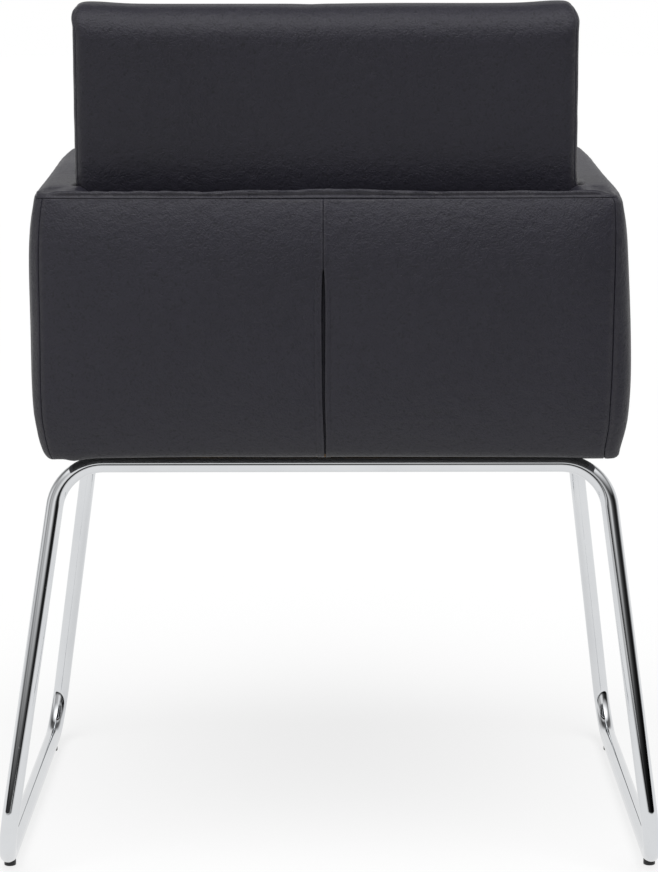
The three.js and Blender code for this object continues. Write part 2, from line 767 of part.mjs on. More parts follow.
// The two brackets that hold the back board to the seat board, behind it, each with two screws.
function backBrackets() {
  const foot = seatBoardTop + gap;
  const [rearY] = boardRearAt(foot);
  const inset = bracketThickness + gap;
  const up = [0, -Math.sin(recline), Math.cos(recline)];
  const start = [0, rearY - gap / Math.cos(recline), foot];
  const profile = (margin) => {
    const leg = bracketLeg + margin;
    const thick = bracketThickness + margin;
    const innerUp = thick * (1 + Math.tan(recline));
    const inner = moved(moved(start, up, innerUp / Math.cos(recline)), backRearward, thick);
    return [
      start,
      moved(start, up, leg),
      moved(moved(start, up, leg), backRearward, thick),
      [0, inner[1], foot + thick],
      [0, rearY - leg, foot + thick],
      [0, rearY - leg, foot],
    ].map(([, y, z]) => new THREE.Vector2(y, z));
  };
  return [
    ["left", -1],
    ["right", 1],
  ].map(([name, side]) => {
    const middle = (side * backBracketSpacing) / 2;
    const bracket = (margin) => {
      const depth = bracketWidth + 2 * margin;
      const bent = new THREE.ExtrudeGeometry(new THREE.Shape(profile(margin)), {
        depth,
        bevelEnabled: false,
      });
      return solid(bent.applyMatrix4(acrossChair(depth)).translate(middle, 0, 0));
    };
    const legMiddle = (bracketLeg * 2) / 3;
    const upright = moved(moved(start, up, legMiddle), backRearward, inset - gap / 2);
    const screws = [
      {
        name: `back_screw_upper_${name}`,
        seat: [middle, upright[1], upright[2]],
        direction: backRearward.map((value) => -value),
      },
      {
        name: `back_screw_lower_${name}`,
        seat: [middle, rearY - legMiddle, foot + inset],
        direction: [0, 0, -1],
      },
    ];
    return { name: `back_bracket_${name}`, bracket, screws, length: inset + screwBite };
  });
}

function makeBoards() {
  const sidePieces = sideBoards(0);
  const corner = cornerBrackets();
  const back = backBrackets();
  const bracketScrews = [...corner, ...back].flatMap(({ screws, length }) =>
    screws.map(({ seat, direction }) => screwSpace(seat, direction, length)),
  );
  const fromBelow = edgeScrews().map(({ seat, direction, length }) => screwSpace(seat, direction, length));
  for (const [name, board] of Object.entries(sidePieces)) {
    let made = board;
    for (const cut of [...bracketScrews, ...fromBelow]) made = made.subtract(cut);
    add(name, made, plywood);
  }
  let seatBoard = seatBoardSpace(0);
  for (const { x, y } of boltPlaces()) {
    const through = rod(
      [x, y, seatBoardBottom - overrun],
      [x, y, seatBoardTop + overrun],
      teeNutBarrelDiameter / 2 + fastenerClearance,
    );
    const recess = rod(
      [x, y, seatBoardTop - teeNutFlangeThickness - 2 * gap],
      [x, y, seatBoardTop + overrun],
      teeNutFlangeDiameter / 2 + fastenerClearance,
    );
    seatBoard = seatBoard.subtract(through).subtract(recess);
  }
  for (const cut of [...bracketScrews, ...fromBelow]) seatBoard = seatBoard.subtract(cut);
  for (const { seat, direction } of edgeScrews()) {
    const open = rod(
      moved(seat, direction, -screwHeadHeight - overrun),
      seat,
      screwHeadDiameter / 2 + fastenerClearance,
    );
    seatBoard = seatBoard.subtract(open);
  }
  add("seat_board", seatBoard, plywood);
  let backBoard = backBoardForm(0);
  for (const cut of bracketScrews) backBoard = backBoard.subtract(cut);
  add("back_board", backBoard, plywood);
  for (const bracket of [...corner, ...back]) addBracket(bracket);
  for (const { name, seat, direction, length } of edgeScrews())
    add(name, woodScrew(seat, direction, length), zincSteel);
}

// The foam of the arms and the rear panel, in three blocks round their boards.
function makeBodyFoam() {
  const inset = coverThickness + foamClearance;
  let core = bodyForm(inset).subtract(seatBoardSpace(gap)).subtract(pleatForm(inset));
  for (const board of Object.values(sideBoards(gap))) core = core.subtract(board);
  for (const { bracket, screws, length } of cornerBrackets()) {
    core = core.subtract(bracket(gap));
    for (const { seat, direction } of screws) core = core.subtract(screwSpace(seat, direction, length));
  }
  const split = innerHalf;
  const low = bodyBottom - overrun;
  const high = bodyTop + armRise + overrun;
  const rearBlock = block([-split + gap, rearPlace, low], [split - gap, innerRear, high]);
  const leftBlock = block([-bodyHalf - armSplay, rearPlace, low], [-split, armFrontPlace, high]);
  const rightBlock = block([split, rearPlace, low], [bodyHalf + armSplay, armFrontPlace, high]);
  add("rear_foam", core.intersect(rearBlock), foam);
  add("arm_foam_left", core.intersect(leftBlock), foam);
  add("arm_foam_right", core.intersect(rightBlock), foam);
}

// The space of one panel of the rear's cover, between the middle seam and the seam near one side.
function rearPanelSpace(side, margin) {
  const seam = side * (bodyHalf - sideSeamInset) + side * margin;
  const middle = -pleatOffset + side * (gap / 2 - margin);
  return block(
    [Math.min(seam, middle), rearPlace - overrun, bodyBottom - overrun],
    [Math.max(seam, middle), boardRear + hemWidth + gap + margin, bodyTop - topSeamDrop + margin],
  );
}

// The cover of the body: two panels on the rear, and one sewn piece over the arms, the top and the inside. It is all
// hemmed under the seat board.
function makeBodyCover() {
  const outside = bodyForm(0).subtract(pleatForm(0));
  const inside = bodyForm(coverThickness).subtract(pleatForm(coverThickness));
  const mouth = block(
    [-boardHalf + hemWidth, boardRear + hemWidth, bodyBottom - overrun],
    [boardHalf - hemWidth, armFrontPlace + overrun, seatBoardTop],
  );
  const underArms = block(
    [-boardHalf, boardFront - hemWidth, bodyBottom - overrun],
    [boardHalf, boardFront - gap, seatBoardTop],
  );
  const hems = mouth.subtract(underArms);
  const cover = outside.subtract(inside).subtract(seatBoardSpace(gap)).subtract(hems);
  add("rear_cover_left", cover.intersect(rearPanelSpace(-1, 0)), blackLeather);
  add("rear_cover_right", cover.intersect(rearPanelSpace(1, 0)), blackLeather);
  const rest = cover.subtract(rearPanelSpace(-1, gap)).subtract(rearPanelSpace(1, gap));
  add("body_cover", rest, blackLeather);
}

// The seat cushion's form, taken in all round by the inset.
function seatForm(inset) {
  const rear = seatRearPlace + inset;
  const front = seatFrontPlace - inset;
  const low = bodyBottom + inset;
  const top = seatHeight - seatCrown - inset;
  const width = 2 * (cushionHalf - inset);
  const lowRadius = seatRearRadius - inset;
  const corners = [
    [rear, low, lowRadius, 1],
    [front, low, lowRadius, 1],
    [front, top, seatFrontRadius - inset, cushionSideSteps],
    [rear, top, lowRadius, 1],
  ];
  const shape = (point) => {
    const widthShare = point.x / cushionHalf;
    const heightShare = limited((point.z - bodyBottom) / (seatHeight - seatCrown - bodyBottom));
    const lengthShare = (point.y - (seatRearPlace + seatFrontPlace) / 2) / (seatLength / 2);
    const crown = (1 - widthShare ** 4) * (1 - limited(lengthShare ** 4));
    point.z += seatCrown * crown * heightShare;
  };
  return padded(corners, width, seatEdgeRadius - inset, cushionSteps, acrossChair(width), shape);
}

// The seat runs in under the back cushion, whose front stands here at the seat's height.
const backFrontAtSeat = new THREE.Vector3(0, backThickness, backLow).applyMatrix4(backPlace).y;
const seatRearPlace = backFrontAtSeat - seatUnderBack;
const seatLength = seatFrontPlace - seatRearPlace;

function makeSeat() {
  const seatBoardAndBelow = block(
    [-bodyHalf, rearPlace - overrun, bodyBottom - overrun],
    [bodyHalf, boardFront + gap, seatBoardTop + gap],
  );
  const frontHem = block(
    [-bodyHalf, boardFront - hemWidth, bodyBottom - overrun],
    [bodyHalf, boardFront + gap, bodyBottom + coverThickness + gap / 2],
  );
  const shell = seatForm(0).subtract(seatForm(coverThickness));
  add("seat_cover", shell.subtract(seatBoardAndBelow.subtract(frontHem)), blackLeather);
  const core = seatForm(coverThickness + foamClearance).subtract(seatBoardAndBelow);
  add("seat_foam", core, foam);
}

function makeBack() {
  const slot = backBoardForm(gap);
  add("back_foam", backForm(coverThickness + foamClearance).subtract(slot), foam);
  const shell = backForm(0).subtract(backForm(coverThickness));
  add("back_cover", shell.subtract(slot), blackLeather);
}

function makeDustCover() {
  const top = bodyBottom - gap;
  const half = boardHalf - dustCoverSetback;
  let sheet = block(
    [-half, boardRear + dustCoverSetback, top - dustCoverThickness],
    [half, boardFront - dustCoverSetback, top],
  );
  for (const { x, y } of boltPlaces())
    sheet = sheet.subtract(
      rod([x, y, top - overrun], [x, y, top + overrun], spacerDiameter / 2 + fastenerClearance),
    );
  add("dust_cover", sheet, blackFelt);
}

makeFrame();
makeGlides();
makeRails();
makeSeatFixings();
makeBoards();
makeBodyFoam();
makeBodyCover();
makeSeat();
makeBack();
makeDustCover();

export default chair;
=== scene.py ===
import bisect
import json
import math

import bmesh
import bpy
from mathutils import Matrix, Vector, noise


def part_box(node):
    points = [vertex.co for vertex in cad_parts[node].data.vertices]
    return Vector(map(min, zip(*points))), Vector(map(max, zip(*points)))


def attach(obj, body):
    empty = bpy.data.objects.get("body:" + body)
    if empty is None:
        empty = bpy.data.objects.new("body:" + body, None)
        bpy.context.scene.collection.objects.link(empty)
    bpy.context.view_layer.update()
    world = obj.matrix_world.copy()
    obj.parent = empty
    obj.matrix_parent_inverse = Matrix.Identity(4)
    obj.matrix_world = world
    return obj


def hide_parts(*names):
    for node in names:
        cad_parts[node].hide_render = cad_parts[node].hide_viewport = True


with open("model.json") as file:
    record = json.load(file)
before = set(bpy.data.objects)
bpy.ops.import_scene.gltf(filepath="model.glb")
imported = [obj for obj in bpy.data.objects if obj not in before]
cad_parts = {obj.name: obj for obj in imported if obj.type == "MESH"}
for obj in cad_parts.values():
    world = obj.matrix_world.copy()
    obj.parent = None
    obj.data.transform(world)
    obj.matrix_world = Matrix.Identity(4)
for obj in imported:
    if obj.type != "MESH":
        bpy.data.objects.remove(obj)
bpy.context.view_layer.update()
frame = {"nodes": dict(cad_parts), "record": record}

MM = 0.001
UP = Vector((0, 0, 1))
WHITE = (1, 1, 1, 1)

# Sled frame
TUBE_RADIUS = 8
TUBE_WALL = 1.5
BEND_RADIUS = 45
FLOOR_LEFT = -298 - 1.8
FLOOR_RIGHT = 298 + 1.1
SEAT_HALF = 250
FRAME_SHIFT = 3
FLOOR_END = 260.5
REAR_TUBE = -200.5
FRONT_TUBE = 214.5
CROSS_HEIGHT = 380
RUNNER_HEIGHT = 13
TUBE_SIDES = 40
BEND_STEPS = 14
JOINT_GAP = 0.3

# Glides
GLIDE_RADIUS = 5.5
GLIDE_TOP = 7
GLIDE_REAR = -205.6
GLIDE_FRONT = 207.6

# Body
BODY_BOTTOM = 393.5
BODY_TOP = 636.5
BODY_HEIGHT = BODY_TOP - BODY_BOTTOM
BODY_MIDDLE = (BODY_TOP + BODY_BOTTOM) / 2
BODY_HALF = 275
BODY_REAR = -280
ARM_FRONT = 270
BODY_DEPTH = ARM_FRONT - BODY_REAR
BODY_CENTRE = (ARM_FRONT + BODY_REAR) / 2
ARM_THICKNESS = 49
REAR_THICKNESS = 46
INNER_HALF = BODY_HALF - ARM_THICKNESS
INNER_REAR = BODY_REAR + REAR_THICKNESS
CORNER_RADIUS = 14
CORNER_ARC = CORNER_RADIUS * math.pi / 2
CORNER_X = BODY_HALF - CORNER_RADIUS
CORNER_Y = BODY_REAR + CORNER_RADIUS
FOOT_RADIUS = 9
FOOT_ARC = FOOT_RADIUS * math.pi / 2
TOP_PULL = 7
BOTTOM_PULL = 8
REAR_PULL = 10
SIDE_CORNER_PULL = 3
REAR_CORNER_PULL = 8
ARM_FRONT_PULL = 5
ARM_SPLAY = 7
ARM_RISE = 6
INNER_CROWN = 3
LEATHER = 1.4
HEM = 29
SEAT_BOARD_TOP = 410.3

# How the body strays from its regular form
SIDE_SWELL = 3.3
SIDE_SWELL_TOP = 590
SIDE_SWELL_RISE = 140
RIGHT_CORNER_WORN = 11
LEFT_WAIST = 1.3
LEFT_WAIST_HEIGHT = 515
LEFT_FOOT_TUCKS = ((1.6, 412, 14), (1.0, 430, 12))
REAR_HEM_RISE = 2.6
REAR_HEM_LOBE = -231
REAR_HEM_LOBE_DROP = 2.2
REAR_BELLY = 3.5
ARM_LEAN = 4
ARM_LEAN_RUN = 475
ARM_TIP_RISE = 1.2

# Leather as it settles over its foam
SETTLE_FRAMES = 20
PANEL_CELL = 9
CUSHION_CELL = 6.5
PROFILE_STEP = 6

# Seams
SEAM_GAP = 0.08
SEAM_RADIUS = 1.3
SEAM_TURNED = 2.4
SEAM_LIP = 0.16
LIP_PLACE = 3.6
LIP_WIDTH = 2.2
# Where beside a seam the lip shows rubbing and a painted highlight, and how wide that band is
HIGHLIT_LIP = 3.2
HIGHLIT_LIP_WIDTH = 1.8
TOP_SEAM_DROP = 8
SIDE_SEAM_RUN = 266
FRONT_SEAM = 262
SEAM_SLANT = 10.6
BESIDE_SEAM = (0, 0.1, 0.35, 0.8, 1.5, 2.4, 3.5, 4.8, 6.6, 9, 12.5, 17)
BESIDE_CUSHION_SEAM = (0.3, 0.8, 1.5, 2.4, 3.5, 4.8, 6.6, 9, 12.5, 17)
CENTRE_GAP = 0.03
CENTRE_TIGHTNESS = 3.0
TOP_TIGHTNESS = 1.5
TOP_SIDE_TIGHTNESS = 4.5
PLEAT_X = -4.7
PLEAT_HEAD = BODY_BOTTOM + 173
PLEAT_WIDEST = 0.75
PLEAT_HALF = 1.55
PLEAT_FOOT_HALF = 0.5
PLEAT_DRIFT = 1.2
PLEAT_DEPTH = 8
PLEAT_STITCHES = {-1: 7.1, 1: 6.0}
FOLD_RADIUS = 2.0
FOLD_DROP = 2.2
CORNER_DROP = 3.2
REAR_DIP = 5.6
ARM_EDGE_WORN = 4.3

# Cushions
CUSHION_HALF = 222.3
CUSHION_SEAM_SHARE = 0.8
BACK_THICKNESS = 74
BACK_PIVOT = Vector((0, -230.7, 627.5))
BACK_RECLINE = math.radians(6)
BACK_LOW = -161.4
BACK_HIGH = 168.7
BACK_TUCK = 7
BACK_SHIFT = 2.4
BACK_TOP_SINK = 1.6
BACK_FOOT_SINK = 8
SEAT_REAR = -184.2
SEAT_FRONT = 280
SEAT_BOARD_FRONT = 252.8
SEAT_TOP = 459
SEAT_CROWN = 7

# Under the seat
BOLTS = ((-120, -150), (-120, 150), (120, -150), (120, 150))
SPACER_HOLE = 12.4

# Studio and camera. The round gives what the chrome mirrors of the studio at each heading in degrees, nought behind
# the chair, from black to white.
STUDIO_ROUND = (
    (-180, 0.84), (-150, 0.8), (-128, 0.42), (-112, 0.42), (-97, 0.85), (-82, 0.75), (-70, 0.30), (-62, 0.35),
    (-54, 0.58), (-46, 0.45), (-38, 0.42), (-30, 0.62), (-22, 0.66), (-14, 0.85), (2, 0.85), (11, 0.45),
    (20, 0.17), (30, 0.07), (42, 0.035), (60, 0.013), (74, 0.015), (86, 0.09), (100, 0.5), (110, 0.8), (180, 0.84),
)
PLAIN_LIGHT = 0.42
OVERHEAD_GLOW = 1.85
SUN_STRENGTH = 3.2
SUN_TILT = 32
SUN_SPREAD = 55
FLOOR_BOUNCE = 0.47
FLOOR_GLARE = 0.97
FLOOR_SHEEN = 0.775
CAMERA_PLACE = Vector((7.07, -2854.5, 817.2))
CAMERA_YAW, CAMERA_PITCH, CAMERA_ROLL = -0.156, 8.818, -0.111
LENS = 120.8


def pick(obj):
    """Makes one object the only one selected, and active."""
    if bpy.context.mode != "OBJECT":
        bpy.ops.object.mode_set(mode="OBJECT")
    bpy.ops.object.select_all(action="DESELECT")
    obj.select_set(True)
    bpy.context.view_layer.objects.active = obj


def mesh_piece(name, points, faces):
    """A mesh object from points in millimetres."""
    mesh = bpy.data.meshes.new(name)
    mesh.from_pydata([tuple(point * MM) for point in points], [], faces)
    mesh.validate()
    obj = bpy.data.objects.new(name, mesh)
    bpy.context.scene.collection.objects.link(obj)
    pick(obj)
    return obj


def grid_faces(rows, columns):
    """Quads between points that lie row after row."""
    return [
        (i * columns + j, i * columns + j + 1, (i + 1) * columns + j + 1, (i + 1) * columns + j)
        for i in range(rows - 1)
        for j in range(columns - 1)
    ]


def facing_out(points, faces, index, outward):
    """The faces, turned over where the one of this index doesn't look the way given."""
    a, b, _, d = (points[i] for i in faces[index])
    if (b - a).cross(d - a).dot(outward) < 0:
        return [face[::-1] for face in faces]
    return faces


def mark_wear_and_highlight(obj, wear_and_highlight_levels):
    """Gives each point how much the leather shows rubbing and a painted highlight there, which its material reads."""
    wear_and_highlight = obj.data.attributes.new("wear_and_highlight", "FLOAT", "POINT")
    wear_and_highlight.data.foreach_set("value", wear_and_highlight_levels)


def close_doubles(obj):
    """Merges points that lie on each other."""
    pick(obj)
    bpy.ops.object.mode_set(mode="EDIT")
    bpy.ops.mesh.select_all(action="SELECT")
    bpy.ops.mesh.remove_doubles(threshold=0.02 * MM)
    bpy.ops.object.mode_set(mode="OBJECT")


def modified(obj, kind, **settings):
    """Adds a modifier and applies it."""
    pick(obj)
    modifier = obj.modifiers.new(kind.title(), kind)
    for key, value in settings.items():
        setattr(modifier, key, value)
    bpy.ops.object.modifier_apply(modifier=modifier.name)


def dressed(obj, material, slot, *stands_for, smooth=40):
    """Finishes a piece: smooth shading, its material, the body it rides on and the CAD nodes that it stands for."""
    pick(obj)
    bpy.ops.object.transform_apply(location=True, rotation=True, scale=True)
    bpy.ops.object.shade_smooth_by_angle(angle=math.radians(smooth))
    obj.data.materials.clear()
    obj.data.materials.append(material)
    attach(obj, "root")
    if stands_for:
        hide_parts(*stands_for)
    return obj


def clamp(value, low=0.0, high=1.0):
    return max(low, min(high, value))


def eased(value):
    value = clamp(value)
    return value * value * (3 - 2 * value)


def hump(value, width):
    """One at nought, falling away smoothly on both sides."""
    return math.exp(-((value / width) ** 2))


def risen(distance, reach):
    """Nought at a seam, nearing one further from it."""
    return 1 - math.exp(-distance / reach)


def wander(point, size, seed):
    """A smooth wandering value about nought, for a point in millimetres."""
    return noise.noise(Vector((point.x / size + seed * 7.3, point.y / size - seed * 3.1, point.z / size + seed)))


# Materials


def put(tree, kind, inputs=None, **settings):
    """Adds a node. An input is a value or the socket that feeds it."""
    made = tree.nodes.new(f"ShaderNode{kind}")
    for key, value in settings.items():
        setattr(made, key, value)
    for key, value in (inputs or {}).items():
        if isinstance(value, bpy.types.NodeSocket):
            tree.links.new(value, made.inputs[key])
        else:
            made.inputs[key].default_value = value
    return made


def effect(name, inputs, outputs):
    """A node group for an effect that several materials share."""
    tree = bpy.data.node_groups.new(name, "ShaderNodeTree")
    for label, value in inputs:
        kind = "NodeSocketVector" if isinstance(value, tuple) else "NodeSocketFloat"
        tree.interface.new_socket(name=label, in_out="INPUT", socket_type=kind).default_value = value
    for label in outputs:
        tree.interface.new_socket(name=label, in_out="OUTPUT", socket_type="NodeSocketFloat")
    return tree, tree.nodes.new("NodeGroupInput"), tree.nodes.new("NodeGroupOutput")


def use(tree, group, **inputs):
    """Places an effect in a material."""
    made = tree.nodes.new("ShaderNodeGroup")
    made.node_tree = group
    for key, value in inputs.items():
        made.inputs[key.replace("_", " ").capitalize()].default_value = value
    return made


def ramp(tree, value, low, high, start, end):
    """A value spread from one range to another and kept inside it."""
    inputs = {"Value": value, "From Min": low, "From Max": high, "To Min": start, "To Max": end}
    return put(tree, "MapRange", inputs).outputs[0]


def blended(tree, share, first, second):
    """A colour between two others."""
    return put(tree, "Mix", {0: share, 6: first, 7: second}, data_type="RGBA").outputs[2]


def math_of(tree, operation, first, second):
    return put(tree, "Math", {0: first, 1: second}, operation=operation).outputs[0]


def bumped(tree, strength, distance, height, **below):
    """A bump as deep as the distance in metres, on another one where it is given."""
    return put(tree, "Bump", {"Strength": strength, "Distance": distance, "Height": height, **below}).outputs[0]


def grain_effect():
    """Pebbled grain of upholstery leather: its height and its pores."""
    tree, given, out = effect("Leather grain", [("Grain size", 1.3), ("Depth", 1.0)], ["Height", "Pores"])
    place = put(tree, "TexCoord").outputs["Object"]
    shift = put(tree, "TexNoise", {"Vector": place, "Scale": 260.0, "Detail": 2.0}).outputs["Color"]
    bent = put(tree, "MixRGB", {0: 0.0012, 1: place, 2: shift}, blend_type="ADD").outputs[0]
    scale = math_of(tree, "DIVIDE", 1000.0, given.outputs["Grain size"])
    cells = put(tree, "TexVoronoi", {"Vector": bent, "Scale": scale}, feature="SMOOTH_F1").outputs["Distance"]
    fine = put(tree, "TexNoise", {"Vector": place, "Scale": 2400.0, "Detail": 2.0}).outputs[0]
    pebble = ramp(tree, cells, 0.1, 0.75, 1.0, 0.0)
    height = math_of(tree, "ADD", pebble, math_of(tree, "MULTIPLY", fine, 0.25))
    tree.links.new(math_of(tree, "MULTIPLY", height, given.outputs["Depth"]), out.inputs["Height"])
    tree.links.new(ramp(tree, cells, 0.45, 0.8, 0.0, 1.0), out.inputs["Pores"])
    return tree


def patches_effect():
    """Slow changes over a surface, such as handling leaves, from nought to one."""
    tree, given, out = effect("Patches", [("Patch size", 120.0), ("Contrast", 1.0)], ["Mask"])
    place = put(tree, "TexCoord").outputs["Object"]
    scale = math_of(tree, "DIVIDE", 1000.0, given.outputs["Patch size"])
    cloud = put(tree, "TexNoise", {"Vector": place, "Scale": scale, "Detail": 4.0, "Roughness": 0.55}).outputs[0]
    spread = math_of(tree, "MULTIPLY", math_of(tree, "SUBTRACT", cloud, 0.5), given.outputs["Contrast"])
    tree.links.new(ramp(tree, spread, -0.25, 0.25, 0.0, 1.0), out.inputs["Mask"])
    return tree


def specks_effect():
    """Small scattered marks, such as dust and fine scratches, from nought to one."""
    tree, given, out = effect("Specks", [("Speck size", 4.0), ("Share", 0.2)], ["Mask"])
    place = put(tree, "TexCoord").outputs["Object"]
    scale = math_of(tree, "DIVIDE", 1000.0, given.outputs["Speck size"])
    spots = put(tree, "TexVoronoi", {"Vector": place, "Scale": scale}, feature="F1")
    near = ramp(tree, spots.outputs["Distance"], 0.0, 0.35, 1.0, 0.0)
    chosen = put(tree, "SeparateColor", {0: spots.outputs["Color"]}).outputs[0]
    kept = math_of(tree, "LESS_THAN", chosen, given.outputs["Share"])
    tree.links.new(math_of(tree, "MULTIPLY", near, kept), out.inputs["Mask"])
    return tree


GRAIN = grain_effect()
PATCHES = patches_effect()
SPECKS = specks_effect()


def new_material(name, **constants):
    """A material and its shader. The constants are set on the shader's own sockets."""
    material = bpy.data.materials.new(name)
    material.use_nodes = True
    tree = material.node_tree
    shader = tree.nodes["Principled BSDF"]
    for key, value in constants.items():
        shader.inputs[key.replace("_", " ")].default_value = value
    return material, tree, shader


def surface(tree, shader, tone, rough, normal=None):
    """Feeds a material's shader its colour, its roughness and the relief of its surface."""
    tree.links.new(tone, shader.inputs["Base Color"])
    tree.links.new(rough, shader.inputs["Roughness"])
    if normal is not None:
        tree.links.new(normal, shader.inputs["Normal"])


def leather_material():
    material, tree, shader = new_material("Black leather", IOR=1.53)
    grain = use(tree, GRAIN, grain_size=1.5, depth=1.0)
    patches = use(tree, PATCHES, patch_size=150.0, contrast=1.0).outputs["Mask"]
    creases = use(tree, PATCHES, patch_size=7.0, contrast=1.3).outputs["Mask"]
    wear_and_highlight = put(tree, "Attribute", attribute_name="wear_and_highlight").outputs["Fac"]
    tone = blended(tree, patches, (0.0120, 0.0114, 0.0178, 1), (0.0158, 0.0150, 0.0228, 1))
    tone = blended(tree, math_of(tree, "MULTIPLY", creases, 0.35), tone, (0.0225, 0.0212, 0.0310, 1))
    tone = blended(tree, math_of(tree, "MULTIPLY", grain.outputs["Pores"], 0.6), tone, (0.004, 0.004, 0.005, 1))
    # Lighter leather where the panels mark rubbing: partly real rubbing, partly a painted highlight on the lips
    # beside seams and on the rounded top edges.
    rubbed_and_highlit = math_of(tree, "MULTIPLY", wear_and_highlight, ramp(tree, creases, 0.0, 1.0, 0.1, 0.4))
    tone = blended(tree, rubbed_and_highlit, tone, (0.040, 0.038, 0.042, 1))
    rough = ramp(tree, patches, 0.0, 1.0, 0.44, 0.54)
    rough = math_of(tree, "ADD", rough, math_of(tree, "MULTIPLY", grain.outputs["Pores"], 0.12))
    rough = math_of(tree, "SUBTRACT", rough, math_of(tree, "MULTIPLY", wear_and_highlight, 0.06))
    soft = bumped(tree, 0.4, 0.0009, creases)
    surface(tree, shader, tone, rough, bumped(tree, 0.8, 0.0003, grain.outputs["Height"], Normal=soft))
    return material


def thread_material():
    material, tree, shader = new_material("Black sewing thread")
    place = put(tree, "TexCoord").outputs["Object"]
    wave = put(tree, "TexWave", {"Vector": place, "Scale": 900.0, "Distortion": 1.0}, bands_direction="DIAGONAL")
    twist = wave.outputs["Fac"]
    tone = blended(tree, twist, (0.03, 0.03, 0.033, 1), (0.11, 0.108, 0.115, 1))
    surface(tree, shader, tone, ramp(tree, twist, 0.0, 1.0, 0.45, 0.6), bumped(tree, 0.4, 0.0002, twist))
    return material


def chrome_material():
    material, tree, shader = new_material("Chrome plate", Metallic=1.0)
    haze = use(tree, PATCHES, patch_size=70.0, contrast=1.3).outputs["Mask"]
    scratches = use(tree, SPECKS, speck_size=5.0, share=0.06).outputs["Mask"]
    tone = blended(tree, haze, (0.80, 0.815, 0.83, 1), (0.75, 0.765, 0.785, 1))
    rough = ramp(tree, haze, 0.0, 1.0, 0.02, 0.045)
    surface(tree, shader, tone, math_of(tree, "ADD", rough, math_of(tree, "MULTIPLY", scratches, 0.12)))
    return material


def zinc_material():
    material, tree, shader = new_material("Bright zinc plate", Metallic=1.0)
    spangle = use(tree, SPECKS, speck_size=3.0, share=0.6).outputs["Mask"]
    haze = use(tree, PATCHES, patch_size=25.0, contrast=1.2).outputs["Mask"]
    tone = blended(tree, haze, (0.64, 0.66, 0.67, 1), (0.54, 0.56, 0.585, 1))
    tone = blended(tree, spangle, tone, (0.72, 0.72, 0.70, 1))
    surface(tree, shader, tone, ramp(tree, haze, 0.0, 1.0, 0.28, 0.44), bumped(tree, 0.2, 0.0001, spangle))
    return material


def plastic_material():
    material, tree, shader = new_material("Moulded black plastic")
    grain = use(tree, GRAIN, grain_size=0.5, depth=1.0)
    scuffs = use(tree, SPECKS, speck_size=2.5, share=0.15).outputs["Mask"]
    tone = blended(tree, scuffs, (0.010, 0.010, 0.011, 1), (0.045, 0.045, 0.047, 1))
    rough = ramp(tree, grain.outputs["Pores"], 0.0, 1.0, 0.42, 0.55)
    surface(tree, shader, tone, rough, bumped(tree, 0.3, 0.00008, grain.outputs["Height"]))
    return material


def felt_material():
    material, tree, shader = new_material("Black dust cover cloth", Sheen_Weight=0.3, Sheen_Roughness=0.5)
    place = put(tree, "TexCoord").outputs["Object"]
    fibres = put(tree, "TexNoise", {"Vector": place, "Scale": 900.0, "Detail": 5.0, "Distortion": 2.5}).outputs[0]
    spots = use(tree, SPECKS, speck_size=2.4, share=0.95).outputs["Mask"]
    tone = blended(tree, fibres, (0.008, 0.008, 0.009, 1), (0.030, 0.030, 0.032, 1))
    tone = blended(tree, math_of(tree, "MULTIPLY", spots, 0.5), tone, (0.006, 0.006, 0.006, 1))
    relief = bumped(tree, 0.6, 0.0003, math_of(tree, "SUBTRACT", fibres, spots))
    surface(tree, shader, tone, ramp(tree, fibres, 0.2, 0.8, 0.85, 1.0), relief)
    return material


def plywood_effect():
    """Plywood: the grain of its faces and the plies that show at its edges."""
    tree, given, out = effect("Plywood", [("Through", (0.0, 0.0, 1.0)), ("Ply", 1.4)], ["Grain", "Plies"])
    place = put(tree, "TexCoord").outputs["Object"]
    across = put(tree, "VectorMath", {0: place, 1: given.outputs["Through"]}, operation="DOT_PRODUCT")
    turns = math_of(tree, "MULTIPLY", across.outputs["Value"], 3141.6)
    turns = math_of(tree, "DIVIDE", turns, given.outputs["Ply"])
    plies = ramp(tree, math_of(tree, "SINE", turns, 0.0), -0.3, 0.3, 0.0, 1.0)
    longways = put(tree, "Mapping", {"Vector": place, "Scale": (9.0, 120.0, 120.0)}).outputs[0]
    grain = put(tree, "TexNoise", {"Vector": longways, "Scale": 1.6, "Detail": 6.0, "Distortion": 0.8}).outputs[0]
    tree.links.new(grain, out.inputs["Grain"])
    tree.links.new(plies, out.inputs["Plies"])
    return tree


PLYWOOD = plywood_effect()


def plywood_material(name, through):
    material, tree, shader = new_material(name)
    wood = use(tree, PLYWOOD, through=through, ply=1.4)
    grain = wood.outputs["Grain"]
    tone = blended(tree, grain, (0.62, 0.42, 0.23, 1), (0.44, 0.27, 0.13, 1))
    tone = blended(tree, math_of(tree, "MULTIPLY", wood.outputs["Plies"], 0.22), tone, (0.30, 0.17, 0.08, 1))
    surface(tree, shader, tone, ramp(tree, grain, 0.2, 0.8, 0.62, 0.8), bumped(tree, 0.3, 0.0003, grain))
    return material


leather = leather_material()
thread = thread_material()
chrome = chrome_material()
zinc = zinc_material()
plastic = plastic_material()
felt = felt_material()

# Sled frame


